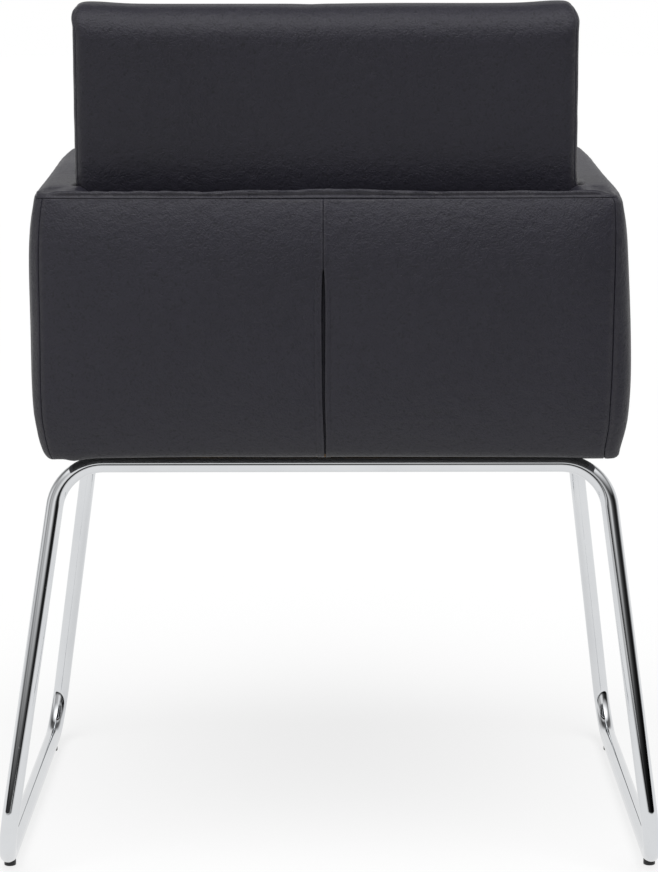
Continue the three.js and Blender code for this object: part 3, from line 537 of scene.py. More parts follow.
def swept_tube(name, corners, radius, sides):
    """A round tube: a ring drawn out along each straight and spun round each bend."""
    corners = [Vector(corner) for corner in corners]
    first = (corners[1] - corners[0]).normalized()
    turned = first.to_track_quat("Z", "Y").to_euler()
    bpy.ops.mesh.primitive_circle_add(
        vertices=sides, radius=radius * MM, fill_type="NOTHING", location=corners[0] * MM, rotation=turned
    )
    obj = bpy.context.object
    obj.name = name
    bpy.ops.object.transform_apply(location=True, rotation=True, scale=True)
    bpy.ops.object.mode_set(mode="EDIT")
    bpy.ops.mesh.select_all(action="SELECT")
    here = corners[0]
    for before, corner, after in zip(corners, corners[1:], corners[2:]):
        into = (corner - before).normalized()
        out = (after - corner).normalized()
        turn = into.angle(out)
        reach = BEND_RADIUS * math.tan(turn / 2)
        axis = into.cross(out).normalized()
        start = corner - into * reach
        centre = start + axis.cross(into) * BEND_RADIUS
        bpy.ops.mesh.extrude_region_move(TRANSFORM_OT_translate={"value": (start - here) * MM})
        bpy.ops.mesh.spin(steps=BEND_STEPS, angle=-turn, center=centre * MM, axis=axis)
        here = corner + out * reach
    bpy.ops.mesh.extrude_region_move(TRANSFORM_OT_translate={"value": (corners[-1] - here) * MM})
    bpy.ops.mesh.select_all(action="SELECT")
    bpy.ops.mesh.remove_doubles(threshold=0.005 * MM)
    bpy.ops.mesh.normals_make_consistent(inside=False)
    bpy.ops.object.mode_set(mode="OBJECT")
    return obj


def make_frame():
    half = JOINT_GAP / 2
    left, right = FRAME_SHIFT - SEAT_HALF, FRAME_SHIFT + SEAT_HALF
    corners = [
        (-half, FRONT_TUBE, CROSS_HEIGHT),
        (left, FRONT_TUBE, CROSS_HEIGHT),
        (FLOOR_LEFT, FLOOR_END, RUNNER_HEIGHT),
        (FLOOR_LEFT, -FLOOR_END, RUNNER_HEIGHT),
        (left, REAR_TUBE, CROSS_HEIGHT),
        (right, REAR_TUBE, CROSS_HEIGHT),
        (FLOOR_RIGHT, -FLOOR_END, RUNNER_HEIGHT),
        (FLOOR_RIGHT, FLOOR_END, RUNNER_HEIGHT),
        (right, FRONT_TUBE, CROSS_HEIGHT),
        (half, FRONT_TUBE, CROSS_HEIGHT),
    ]
    tube = swept_tube("chromed_sled_tube", corners, TUBE_RADIUS, TUBE_SIDES)
    modified(tube, "SOLIDIFY", thickness=TUBE_WALL * MM, offset=-1)
    dressed(tube, chrome, "frame_chrome", "sled_frame")


def select_faces(obj, wanted):
    """Selects the faces of the object in edit mode whose middle and normal the function wants."""
    made = bmesh.from_edit_mesh(obj.data)
    for face in made.faces:
        face.select_set(wanted(face.calc_center_median() / MM, face.normal))
    bmesh.update_edit_mesh(obj.data)


def make_glide(name, x, y):
    """A moulded foot that cups the underside of the runner, hollowed a little underneath."""
    bpy.ops.mesh.primitive_cylinder_add(
        vertices=48,
        radius=GLIDE_RADIUS * MM,
        depth=GLIDE_TOP * MM,
        location=(x * MM, y * MM, GLIDE_TOP / 2 * MM),
    )
    glide = bpy.context.object
    glide.name = name
    bpy.ops.object.transform_apply(location=True, rotation=True, scale=True)
    bpy.ops.object.mode_set(mode="EDIT")
    bpy.ops.mesh.select_mode(type="FACE")
    select_faces(glide, lambda middle, normal: normal.z < -0.9)
    bpy.ops.mesh.bevel(offset=0.9 * MM, segments=4, affect="EDGES")
    select_faces(glide, lambda middle, normal: normal.z < -0.99 and middle.z < 0.1)
    bpy.ops.mesh.inset(thickness=1.8 * MM)
    bpy.ops.transform.translate(value=(0, 0, 0.5 * MM))
    bpy.ops.object.mode_set(mode="OBJECT")
    bpy.ops.mesh.primitive_cylinder_add(
        vertices=96,
        radius=(TUBE_RADIUS + 0.15) * MM,
        depth=40 * MM,
        location=(x * MM, y * MM, RUNNER_HEIGHT * MM),
        rotation=(math.pi / 2, 0, 0),
    )
    runner = bpy.context.object
    modified(glide, "BOOLEAN", operation="DIFFERENCE", object=runner, solver="EXACT")
    bpy.data.objects.remove(runner)
    dressed(glide, plastic, "black_plastic", name.replace("moulded_", ""), smooth=35)


make_frame()
for side, x in (("left", FLOOR_LEFT), ("right", FLOOR_RIGHT)):
    make_glide(f"moulded_glide_rear_{side}", x, GLIDE_REAR)
    make_glide(f"moulded_glide_front_{side}", x, GLIDE_FRONT)

# Body


def side_swell(side, y, z):
    """How far an arm's outside lies to the right. The right arm bulges low down and its top corner at the rear is
    worn in. The left one is drawn in a little at its middle and at its foot."""
    if side < 0:
        tuck = sum(depth * clamp((start - z) / run) for depth, start, run in LEFT_FOOT_TUCKS)
        return tuck + LEFT_WAIST * hump(z - LEFT_WAIST_HEIGHT, 60)
    fading = 0.4 + 0.6 * eased((60 - y) / 250)
    foot = 1 - 0.5 * clamp((424 - z) / 18) + 0.6 * clamp((401 - z) / 5) * clamp((-235 - y) / 25)
    worn_corner = RIGHT_CORNER_WORN * clamp((z - 624) / 12) ** 1.3 * hump(y + 264, 36)
    return SIDE_SWELL * fading * eased((SIDE_SWELL_TOP - z) / SIDE_SWELL_RISE) * foot - worn_corner


def hem_rise(x, y, z):
    """How far the rear's bottom edge is drawn up, with a lobe near its left end."""
    rise = REAR_HEM_RISE * (1 - 1.25 * (x / BODY_HALF) ** 4) - REAR_HEM_LOBE_DROP * hump(x - REAR_HEM_LOBE, 12)
    return rise * clamp((430 - z) / 36) * clamp((-245 - y) / 20)


def shape_body(point):
    """The cover draws the body's edges in and leaves its faces proud, as in the frame's solids."""
    x, y, z = point
    side = (x > 0) - (x < 0)
    height_share = (z - BODY_MIDDLE) / (BODY_HEIGHT / 2)
    length_share = (y - BODY_CENTRE) / (BODY_DEPTH / 2)
    width_share = x / BODY_HALF
    outer_share = clamp((abs(x) - INNER_HALF) / ARM_THICKNESS)
    inner_share = clamp(abs(x) / INNER_HALF) - outer_share
    rear_share = clamp((INNER_REAR - y) / REAR_THICKNESS)
    front_share = clamp((y - ARM_FRONT + ARM_THICKNESS) / ARM_THICKNESS)
    edge_pull = (TOP_PULL if height_share > 0 else BOTTOM_PULL) * height_share**4
    middle_share = (1 - clamp(height_share**2)) * (1 - clamp(length_share**2))
    forward, upward = (y - BODY_REAR) / BODY_DEPTH, (z - BODY_BOTTOM) / BODY_HEIGHT
    arm_rise = ARM_RISE + ARM_TIP_RISE * clamp((y - 100) / 170)
    return Vector(
        (
            x
            - side * outer_share * (edge_pull + SIDE_CORNER_PULL * length_share**4 - ARM_SPLAY * length_share)
            - side * inner_share * INNER_CROWN * middle_share
            + outer_share * side_swell(side, y, z)
            - outer_share * ARM_LEAN * clamp((y - BODY_REAR) / ARM_LEAN_RUN) ** 0.7 * clamp(height_share + 0.5),
            y
            + rear_share * (REAR_PULL * height_share**4 + REAR_CORNER_PULL * width_share**4)
            - front_share * ARM_FRONT_PULL * height_share**4,
            z + arm_rise * forward * upward + hem_rise(x, y, z),
        )
    )


def outer_line(run, inset=0.0):
    """The body's outside in plan: the point and the outward normal at a run from the middle of the rear round one
    side."""
    side = 1 if run >= 0 else -1
    run = abs(run)
    keep = max(CORNER_RADIUS - inset, 0)
    over = max(inset - CORNER_RADIUS, 0)
    if run <= CORNER_X:
        x, y, normal = min(run, CORNER_X - over), BODY_REAR + inset, (0, -1)
    elif run <= CORNER_X + CORNER_ARC:
        angle = (run - CORNER_X) / CORNER_RADIUS
        normal = (math.sin(angle), -math.cos(angle))
        x = CORNER_X - over + keep * normal[0]
        y = CORNER_Y + over + keep * normal[1]
    else:
        x, normal = BODY_HALF - inset, (1, 0)
        y = max(CORNER_Y + run - CORNER_X - CORNER_ARC, CORNER_Y + over)
    return Vector((side * x, y, 0)), Vector((side * normal[0], normal[1], 0))


INNER_FILLET = 4
INNER_ARC = INNER_FILLET * math.pi / 2
INNER_RUN = INNER_HALF - INNER_FILLET


def inner_line(run):
    """The body's inside in plan, from the middle of the rear along one arm."""
    side = 1 if run >= 0 else -1
    run = abs(run)
    if run <= INNER_RUN:
        x, y, normal = run, INNER_REAR, (0, 1)
    elif run <= INNER_RUN + INNER_ARC:
        angle = (run - INNER_RUN) / INNER_FILLET
        normal = (-math.sin(angle), math.cos(angle))
        x = INNER_RUN - INNER_FILLET * normal[0]
        y = INNER_REAR + INNER_FILLET - INNER_FILLET * normal[1]
    else:
        x, normal = INNER_HALF, (-1, 0)
        y = INNER_REAR + INNER_FILLET + run - INNER_RUN - INNER_ARC
    return Vector((side * x, y, 0)), Vector((side * normal[0], normal[1], 0))


def seam_depth(distance):
    """How far the leather has turned in at a distance from its seam, with a low lip beside it."""
    if distance < SEAM_RADIUS:
        turned = SEAM_RADIUS - math.sqrt(max(SEAM_RADIUS**2 - (SEAM_RADIUS - distance) ** 2, 0))
    else:
        turned = 0.0
    return turned - SEAM_LIP * hump(distance - LIP_PLACE, LIP_WIDTH)


def seam_wear_and_highlight(near):
    """How much the leather shows rubbing, with a painted highlight over it, at a distance from a seam: most on the
    lip beside it.
    """
    return hump(near - HIGHLIT_LIP, HIGHLIT_LIP_WIDTH)


def marks(length, start_seam, end_seam, step=6.0, extra=()):
    """Distances across a panel, close together beside its seams, each with the depth that it is turned in by."""
    low = BESIDE_SEAM[-1] if start_seam else 0.0
    high = length - (BESIDE_SEAM[-1] if end_seam else 0.0)
    count = max(1, round((high - low) / step))
    found = {round(low + (high - low) * i / count, 3) for i in range(count + 1)}
    if start_seam:
        found |= {float(distance) for distance in BESIDE_SEAM}
    if end_seam:
        found |= {round(length - distance, 3) for distance in BESIDE_SEAM}
    found |= {float(value) for value in extra}
    lines = [(distance, 0.0) for distance in sorted(found)]
    if start_seam:
        lines.insert(0, (0.0, SEAM_TURNED))
    if end_seam:
        lines.append((length, SEAM_TURNED))
    return lines


def coarse(length, step):
    count = max(2, round(length / step))
    return [length * i / count for i in range(count + 1)]


def settle(name, points, faces, pinned, pressure, cap, stretch):
    """Lets leather settle under the push of its foam: a cloth simulation with the seams held. It gives how far each
    point has moved, in millimetres, scaled down where the furthest would pass the cap."""
    obj = mesh_piece(f"{name}_settling", points, faces)
    held = obj.vertex_groups.new(name="seams")
    held.add(sorted(pinned), 1.0, "REPLACE")
    cloth = obj.modifiers.new("Cloth", "CLOTH")
    settings = cloth.settings
    settings.quality = 6
    settings.mass = 0.3
    settings.tension_stiffness = 18
    settings.compression_stiffness = 12
    settings.shear_stiffness = 6
    settings.bending_stiffness = 1.2
    settings.air_damping = 2
    settings.vertex_group_mass = "seams"
    settings.use_pressure = True
    settings.uniform_pressure_force = pressure
    settings.shrink_min = -stretch
    settings.effector_weights.gravity = 0
    cloth.collision_settings.use_collision = False
    scene = bpy.context.scene
    cloth.point_cache.frame_start = 1
    cloth.point_cache.frame_end = SETTLE_FRAMES
    for step in range(1, SETTLE_FRAMES + 1):
        scene.frame_set(step)
    settled = obj.evaluated_get(bpy.context.evaluated_depsgraph_get())
    moves = [vertex.co / MM - point for point, vertex in zip(points, settled.data.vertices)]
    scene.frame_set(1)
    bpy.data.objects.remove(obj)
    furthest = max(move.length for move in moves)
    print(name, "settled by up to", round(furthest, 2), "mm, capped at", cap)
    return [move * min(1, cap / furthest) for move in moves]


def billow(name, width, height, place, pressure, cap):
    """How far a panel swells between its seams, as a function of the place on it."""
    across, down = coarse(width, PANEL_CELL), coarse(height, PANEL_CELL)
    spots = [place(u, v) for u in across for v in down]
    points = [point for point, _ in spots]
    columns = len(down)
    faces = grid_faces(len(across), columns)
    middle = len(faces) // 2
    faces = facing_out(points, faces, middle, spots[faces[middle][0]][1])
    pinned = {
        i * columns + j
        for i in range(len(across))
        for j in range(columns)
        if i in (0, len(across) - 1) or j in (0, columns - 1)
    }
    moves = settle(name, points, faces, pinned, pressure, cap, stretch=0.004)

    def swell(u, v):
        i = clamp(bisect.bisect_right(across, u) - 1, 0, len(across) - 2)
        j = clamp(bisect.bisect_right(down, v) - 1, 0, columns - 2)
        a = clamp((u - across[i]) / (across[i + 1] - across[i]))
        b = clamp((v - down[j]) / (down[j + 1] - down[j]))
        near = moves[i * columns + j].lerp(moves[i * columns + j + 1], b)
        far = moves[(i + 1) * columns + j].lerp(moves[(i + 1) * columns + j + 1], b)
        return near.lerp(far, a)

    return swell


def leather_panel(name, across, down, place, detail, swell, seams):
    """A panel of leather. The lines across and down it each give a distance and how far the edge is turned in. Place
    gives a point and its outward normal, detail any further rise, swell how it settles, and seams how far off its
    nearest seam is."""
    points, wear_and_highlight_levels = [], []
    for u, turned_u in across:
        for v, turned_v in down:
            point, normal = place(u, v)
            near = seams(u, v)
            depth = seam_depth(near) + max(turned_u, turned_v)
            away = risen(near, 10)
            rise = detail(u, v, point) - depth
            rise += 0.55 * wander(point, 85, 1) * risen(near, 30)
            rise += 0.3 * wander(point, 7.5, 2) * (near / 3) * math.exp(1 - near / 3) * (0.5 + wander(point, 40, 3))
            points.append(shape_body(point + normal * rise + swell(u, v) * away))
            wear_and_highlight_levels.append(seam_wear_and_highlight(near))
    faces = grid_faces(len(across), len(down))
    u, v = across[len(across) // 2][0], down[len(down) // 2][0]
    panel = mesh_piece(name, points, facing_out(points, faces, len(faces) // 2, place(u, v)[1]))
    mark_wear_and_highlight(panel, wear_and_highlight_levels)
    close_doubles(panel)
    modified(panel, "SOLIDIFY", thickness=LEATHER * MM, offset=-1)
    return panel


SKIN_STRAIGHT = BODY_HEIGHT - TOP_SEAM_DROP - FOOT_RADIUS


def fallen(v):
    """Down the outside from the top seam: the inset, the height and the tilt of the normal."""
    if v <= SKIN_STRAIGHT:
        return 0.0, BODY_TOP - TOP_SEAM_DROP - SEAM_GAP - v, 0.0
    angle = (v - SKIN_STRAIGHT) / FOOT_RADIUS
    if angle <= math.pi / 2:
        return FOOT_RADIUS * (1 - math.cos(angle)), BODY_BOTTOM + FOOT_RADIUS * (1 - math.sin(angle)), angle
    return FOOT_RADIUS + v - SKIN_STRAIGHT - FOOT_ARC, BODY_BOTTOM, math.pi / 2


def skin(run, v):
    inset, z, tilt = fallen(v)
    point, outward = outer_line(run, inset)
    point.z = z
    return point, outward * math.cos(tilt) - UP * math.sin(tilt)


def foot_lines():
    """The lines down an outside panel: from its top seam, round the foot and along the hem."""
    lines = marks(SKIN_STRAIGHT, True, False)
    lines += [(SKIN_STRAIGHT + FOOT_ARC * i / 5, 0.0) for i in range(1, 6)]
    lines += [(SKIN_STRAIGHT + FOOT_ARC + HEM * share, 0.0) for share in (0.25, 0.5, 0.75, 1)]
    return lines


def seam_slant(side, v):
    """How far the right side seam strays towards the middle on its way down."""
    return SEAM_SLANT * min(v / 180, 1) ** 0.65 if side > 0 and v > 0 else 0.0


def pleat_half(z):
    """Half the opening of the pleat at a height."""
    share = (z - BODY_BOTTOM) / (PLEAT_HEAD - BODY_BOTTOM)
    if share >= 1:
        return 0.0
    if share > PLEAT_WIDEST:
        return PLEAT_HALF * math.sqrt(max(1 - ((share - PLEAT_WIDEST) / (1 - PLEAT_WIDEST)) ** 2, 0))
    return PLEAT_FOOT_HALF + (PLEAT_HALF - PLEAT_FOOT_HALF) * (max(share, 0) / PLEAT_WIDEST) ** 0.9


def pleat_drift(z):
    """The pleat leans to the right towards its foot."""
    return PLEAT_DRIFT * clamp((450 - z) / 40)


def top_tightness(run):
    """How much narrower than the others the seam under the rear's top edge is. It is closed tighter at its sides."""
    return TOP_TIGHTNESS + TOP_SIDE_TIGHTNESS * eased((abs(run) - 40) / 70)


def make_rear_panel(name, side, node):
    """Half of the rear, from the middle seam and its pleat to the side seam."""
    width = SIDE_SEAM_RUN - side * PLEAT_X - CENTRE_GAP - SEAM_GAP
    stitched = PLEAT_STITCHES[side]
    fine = [stitched + offset for offset in (-1.7, -1.2, -0.8, -0.4, 0, 0.4, 0.8, 1.3)]

    def flat(u, v):
        return skin(PLEAT_X + side * (CENTRE_GAP + u * (1 - seam_slant(side, v) / width)), v)

    def place(u, v):
        point, normal = flat(u, v)
        point.x += side * pleat_half(point.z) * math.exp(-u / 9) + pleat_drift(point.z) * math.exp(-u / 30)
        return point, normal

    def detail(u, v, point):
        below = eased((PLEAT_HEAD - point.z - 6) / 16)
        rise = -0.45 * hump(u - stitched, 0.7) * below
        rise += 0.25 * hump(u - 3.6, 2.2) * below
        above = eased((point.z - PLEAT_HEAD + 2) / 8)
        if side > 0:
            rise += 0.2 * eased((4.6 - u) / 0.6) * eased(u / 0.6) * above
        rise += 0.55 * above * max(seam_depth(u * CENTRE_TIGHTNESS), 0)
        rise += 0.5 * wander(Vector((point.x, 0, v * 0.45)), 11, 5) * math.exp(-v / 22) * clamp(v / 4)
        tack = math.hypot(u, point.z - PLEAT_HEAD)
        rise -= 0.6 * hump(tack, 4)
        rise += 0.4 * hump(tack - 6, 2.6) * math.sin(5 * math.atan2(point.z - PLEAT_HEAD, u + 0.1))
        rise += REAR_BELLY * risen(v, 18) * (1 - eased((v - 60) / 150)) * risen(width - u, 20)
        return rise

    def seams(u, v):
        return min(u * CENTRE_TIGHTNESS, width - u, v * top_tightness(u))

    swell = billow(name, width, SKIN_STRAIGHT, flat, pressure=3.0, cap=2.2)

    def held(u, v):
        return swell(u, min(v, SKIN_STRAIGHT))

    across = marks(width, True, True, extra=fine)
    across[0] = (0.0, PLEAT_DEPTH - SEAM_RADIUS)
    panel = leather_panel(name, across, foot_lines(), place, detail, held, seams)
    dressed(panel, leather, "black_leather", node)


def make_pleat_lining():
    """The folded leather at the bottom of the pleat, behind its opening."""
    rows = [BODY_BOTTOM + 4 + (PLEAT_HEAD - BODY_BOTTOM - 2) * i / 40 for i in range(41)]
    points = []
    for z in rows:
        half = pleat_half(z) + 1.6
        for share in (-1, -0.6, -0.2, 0.2, 0.6, 1):
            depth = PLEAT_DEPTH - 1.4 * (1 - share * share) + 0.3 * wander(Vector((share, 0, z)), 12, 6)
            points.append(shape_body(Vector((PLEAT_X + pleat_drift(z) + share * half, BODY_REAR + depth, z))))
    panel = mesh_piece("pleat_lining", points, grid_faces(len(rows), 6))
    modified(panel, "SOLIDIFY", thickness=LEATHER * MM, offset=1)
    dressed(panel, leather, "black_leather")


def make_bar_tack():
    """Close stitches of thread across the head of the pleat, each a short arched tube."""
    ring, steps, half, radius = 8, 8, 1.7, 0.24
    points, faces = [], []
    for row in range(4):
        z = PLEAT_HEAD + 1.2 - 0.55 * row
        first = len(points)
        for i in range(steps + 1):
            across = (2 * i / steps - 1) * half
            lift = 0.75 * (1 - (across / half) ** 2) - 0.35
            slimmer = radius * (1 if 0 < i < steps else 0.35)
            for k in range(ring):
                angle = 2 * math.pi * k / ring
                y = BODY_REAR - lift + slimmer * math.cos(angle)
                height = z + 0.1 * across + slimmer * math.sin(angle)
                points.append(shape_body(Vector((PLEAT_X + across, y, height))))
        for i in range(steps):
            for k in range(ring):
                a, b = first + i * ring + k, first + i * ring + (k + 1) % ring
                faces.append((a, b, b + ring, a + ring))
        faces.append(tuple(range(first, first + ring))[::-1])
        faces.append(tuple(range(first + steps * ring, first + (steps + 1) * ring)))
    tack = mesh_piece("bar_tack_thread", points, faces)
    bpy.ops.object.mode_set(mode="EDIT")
    bpy.ops.mesh.select_all(action="SELECT")
    bpy.ops.mesh.normals_make_consistent(inside=False)
    bpy.ops.object.mode_set(mode="OBJECT")
    dressed(tack, thread, "black_leather", smooth=60)


make_bar_tack()
make_rear_panel("leather_rear_left", -1, "rear_cover_left")
make_rear_panel("leather_rear_right", 1, "rear_cover_right")
make_pleat_lining()


def make_arm_panel(name, side, node):
    """The outside of an arm, from the side seam of the rear to the seam down the arm's front."""
    start = SIDE_SEAM_RUN + SEAM_GAP
    width = CORNER_X + CORNER_ARC + FRONT_SEAM - SEAM_GAP - CORNER_Y - start

    def place(u, v):
        inset = fallen(v)[0]
        mitre = max(inset - FOOT_RADIUS, 0) * 0.85 * clamp(u / width * 3 - 2)
        return skin(side * (start + u - mitre - seam_slant(side, v) * clamp(1 - u / 90)), v)

    swell = billow(name, width, SKIN_STRAIGHT, place, pressure=3.0, cap=2.6)
    across = marks(width, True, True, step=7, extra=[1.5 * i for i in range(3, 14)])
    panel = leather_panel(
        name,
        across,
        foot_lines(),
        place,
        lambda u, v, point: 0.0,
        lambda u, v: swell(u, min(v, SKIN_STRAIGHT)),
        lambda u, v: min(u, width - u, v),
    )
    dressed(panel, leather, "black_leather", node)


make_arm_panel("leather_arm_left", -1, "arm_foam_left")
make_arm_panel("leather_arm_right", 1, "arm_foam_right")

# The strip over the rear and the arms, and down the fronts of the arms
FAN_END = CORNER_X + CORNER_ARC + INNER_REAR - CORNER_Y
BROW_RADIUS = 12
BROW_START = FAN_END + ARM_FRONT - BROW_RADIUS - INNER_REAR
BROW_END = BROW_START + BROW_RADIUS * math.pi / 2
SHIN_END = BROW_END + BODY_HEIGHT - BROW_RADIUS - FOOT_RADIUS
TOE_END = SHIN_END + FOOT_ARC
STRIP_END = TOE_END + 7


def strip_station(run):
    """The outer and inner edges of the strip at a run along it, with their normals, its upward direction, and how
    round its two edges are there."""
    side = 1 if run >= 0 else -1
    run = abs(run)
    round_edge = TOP_SEAM_DROP
    outer, outer_normal = outer_line(min(run, BROW_START))
    if run < FAN_END:
        share = run / INNER_HALF if run < INNER_HALF else 1 + (run - INNER_HALF) / (FAN_END - INNER_HALF)
        along = share * INNER_RUN if share < 1 else INNER_RUN + (share - 1) * INNER_ARC
        inner, inner_normal = inner_line(along)
    else:
        inner, inner_normal = Vector((INNER_HALF, 0, 0)), Vector((-1, 0, 0))
        behind = run - FAN_END
        inner.y = outer.y + INNER_FILLET * max(0, 1 - behind / 60)
    outer.z = inner.z = BODY_TOP
    up = UP.copy()
    if run > BROW_START:
        outer_normal = Vector((1, 0, 0))
        if run <= BROW_END:
            angle = (run - BROW_START) / BROW_RADIUS
            up = Vector((0, math.sin(angle), math.cos(angle)))
            y = ARM_FRONT - BROW_RADIUS + BROW_RADIUS * up.y
            z = BODY_TOP - BROW_RADIUS + BROW_RADIUS * up.z
            x = BODY_HALF
        elif run <= SHIN_END:
            up = Vector((0, 1, 0))
            x, y, z = BODY_HALF, ARM_FRONT, BODY_TOP - BROW_RADIUS - (run - BROW_END)
        else:
            angle = min((run - SHIN_END) / FOOT_RADIUS, math.pi / 2)
            up = Vector((0, math.cos(angle), -math.sin(angle)))
            y = ARM_FRONT - FOOT_RADIUS + FOOT_RADIUS * up.y - max(run - TOE_END, 0)
            z = BODY_BOTTOM + FOOT_RADIUS * (1 + up.z)
            x = BODY_HALF - FOOT_RADIUS * (1 - math.cos(angle))
            round_edge = max(TOP_SEAM_DROP * math.cos(angle), 0.6)
        outer = Vector((x, y, z))
        inner = Vector((INNER_HALF, y, z))
    for vector in (outer, outer_normal, inner, inner_normal):
        vector.x *= side
    return outer, outer_normal, inner, inner_normal, up, round_edge


def rearward(run):
    """One along the rear of the strip and nought along the arms."""
    return eased((INNER_HALF - 2 - abs(run)) / 8)


def tightness(run):
    """One where the strip's outer edge is folded tight, along the rear, easing to nought round its corners."""
    return eased((FAN_END + 22 - abs(run)) / 64)


def strip_place(run, share):
    """A point of the strip, its normal, and its distance from the nearer seam. The share is 0 to 1 over the outer
    edge, 1 to 2 across the top and 2 to 3 over the inner edge. The arms have round edges. Along the rear the outer
    edge is a tight fold, and the top dips behind it."""
    outer, outer_normal, inner, inner_normal, up, radius = strip_station(run)
    behind, tight = rearward(run), tightness(run)
    corner = hump(abs(run) - CORNER_X - CORNER_ARC / 2, 22)
    height = radius - FOLD_DROP * tight - CORNER_DROP * corner
    fold = radius + (FOLD_RADIUS - radius) * tight
    fold = min(fold, height)
    straight = height - fold
    edge = straight + fold * math.pi / 2
    bow = 1.8 * behind * hump(outer.x - 2, 45)
    bow += 0.9 * behind * wander(Vector((outer.x, 0, 0)), 34, 12)
    if share <= 1:
        gone = share * edge
        angle = max(gone - straight, 0) / fold
        lift = min(gone, straight) + fold * math.sin(angle)
        point = outer - outer_normal * fold * (1 - math.cos(angle)) - up * (radius - lift)
        return point + up * bow * (lift / height), outer_normal * math.cos(angle) + up * math.sin(angle), gone
    if share <= 2:
        start = outer - outer_normal * fold - up * (radius - height)
        end = inner - inner_normal * radius
        dipped = eased((share - 1) / 0.35)
        drop = behind * (FOLD_DROP * (share - 1) + REAR_DIP * dipped) - bow * (1 - dipped)
        flat = ARM_THICKNESS - 2 * radius
        return start.lerp(end, share - 1) - up * drop, up, edge + flat * min(share - 1, 2 - share)
    angle = (3 - share) * math.pi / 2
    arched = radius * math.sin(angle)
    lift = arched + behind * (0.2 * (3 - share) - arched)
    point = inner - inner_normal * radius * (1 - math.cos(angle)) - up * (radius - lift)
    return point, inner_normal * math.cos(angle) + up * math.sin(angle), (3 - share) * radius * math.pi / 2


EDGE_LENGTH = TOP_SEAM_DROP * math.pi / 2


def make_top_strip():
    distances = [0, 0.3, 0.8, 1.5, 2.4, 3.5, 4.8, 6.2, 7.8, 9.4, 11]
    shares = [distance / EDGE_LENGTH for distance in distances]
    shares += [1 + i / 8 for i in range(9)]
    shares += [3 - distance / EDGE_LENGTH for distance in reversed(distances)]
    across = [(0.0, SEAM_TURNED)] + [(share, 0.0) for share in shares] + [(3.0, SEAM_TURNED)]
    runs = set()
    stretches = (
        (0, INNER_HALF, 5),
        (INNER_HALF, FAN_END, 3),
        (FAN_END, BROW_START, 6),
        (BROW_START, BROW_END, 2),
        (BROW_END, SHIN_END, 6),
        (SHIN_END, TOE_END, 2.5),
        (TOE_END, STRIP_END, 3.5),
    )
    for start, end, step in stretches:
        count = round((end - start) / step)
        runs |= {start + (end - start) * i / count for i in range(count + 1)}
    lines = sorted({-run for run in runs} | runs)
    points, wear_and_highlight_levels = [], []
    for run in lines:
        for share, turned in across:
            point, normal, near = strip_place(run, share)
            behind, tight = rearward(run), tightness(run)
            tighter = 1 + (top_tightness(run) - 1) * tight * (share < 1.5)
            rise = -seam_depth(near * tighter) - turned
            rise += 1.2 * math.sin(math.pi * clamp(share / 3)) ** 2 * (1 - behind)
            rise += 0.5 * wander(point, 60, 1) * risen(near, 12)
            if share < 1.5:
                fading = eased((200 - point.y) / 330)
                rise -= ARM_EDGE_WORN * (1 - tight) * fading * hump(near - 8, 6.5)
            if share <= 1:
                crumple = 0.45 + 0.7 * eased((-150 - point.x) / 60)
                rise += behind * crumple * wander(Vector((point.x, near * 2.5, 0)), 8, 4) * clamp(near / 1.5)
                middle = hump(point.x, 130)
                lip = 0.5 * hump(near - 1.1, 0.7)
                hollow = (0.9 + 0.7 * middle) * hump(near - 2.7, 1.1)
                brim = (0.7 + 0.8 * middle) * hump(near - 5.7, 1.3)
                rise += tight * (lip - hollow + brim)
            stretched = Vector((point.x, point.y * 0.7, point.z * 0.7))
            rise += 0.6 * wander(stretched, 13, 4) * clamp(near / 4) * math.exp(-near / 16)
            points.append(shape_body(point + normal * rise))
            # Rubbing and a painted highlight beside the seam and along the rounded top edge
            wear_and_highlight_levels.append(clamp(seam_wear_and_highlight(near) + 0.5 * hump(near - 9, 4)))
    faces = grid_faces(len(lines), len(across))
    middle = (len(lines) // 2) * (len(across) - 1) + len(across) // 2
    panel = mesh_piece("leather_top_strip", points, facing_out(points, faces, middle, UP))
    mark_wear_and_highlight(panel, wear_and_highlight_levels)
    modified(panel, "SOLIDIFY", thickness=LEATHER * MM, offset=-1)
    dressed(panel, leather, "black_leather", "body_cover")


def make_inside_panel():
    """The inside of both arms and of the rear, down to the seat board."""
    reach = INNER_RUN + INNER_ARC + FRONT_SEAM - SEAM_GAP - INNER_REAR - INNER_FILLET
    width = 2 * reach
    top = BODY_TOP - TOP_SEAM_DROP - SEAM_GAP
    height = top - SEAT_BOARD_TOP - 1

    def place(u, v):
        point, normal = inner_line(u - reach)
        point.z = top - v
        return point, normal

    swell = billow("leather_inside", width, height, place, pressure=1.5, cap=0.9)
    corner = INNER_RUN + INNER_ARC / 2
    extra = [reach + side * (corner + offset) for side in (-1, 1) for offset in (-3, -1.5, 0, 1.5, 3)]
    panel = leather_panel(
        "leather_inside",
        marks(width, True, True, step=9, extra=extra),
        marks(height, True, False, step=9),
        place,
        lambda u, v, point: -0.6,
        swell,
        lambda u, v: min(u, width - u, v),
    )
    dressed(panel, leather, "black_leather", "rear_foam")


make_top_strip()
make_inside_panel()


# Cushions


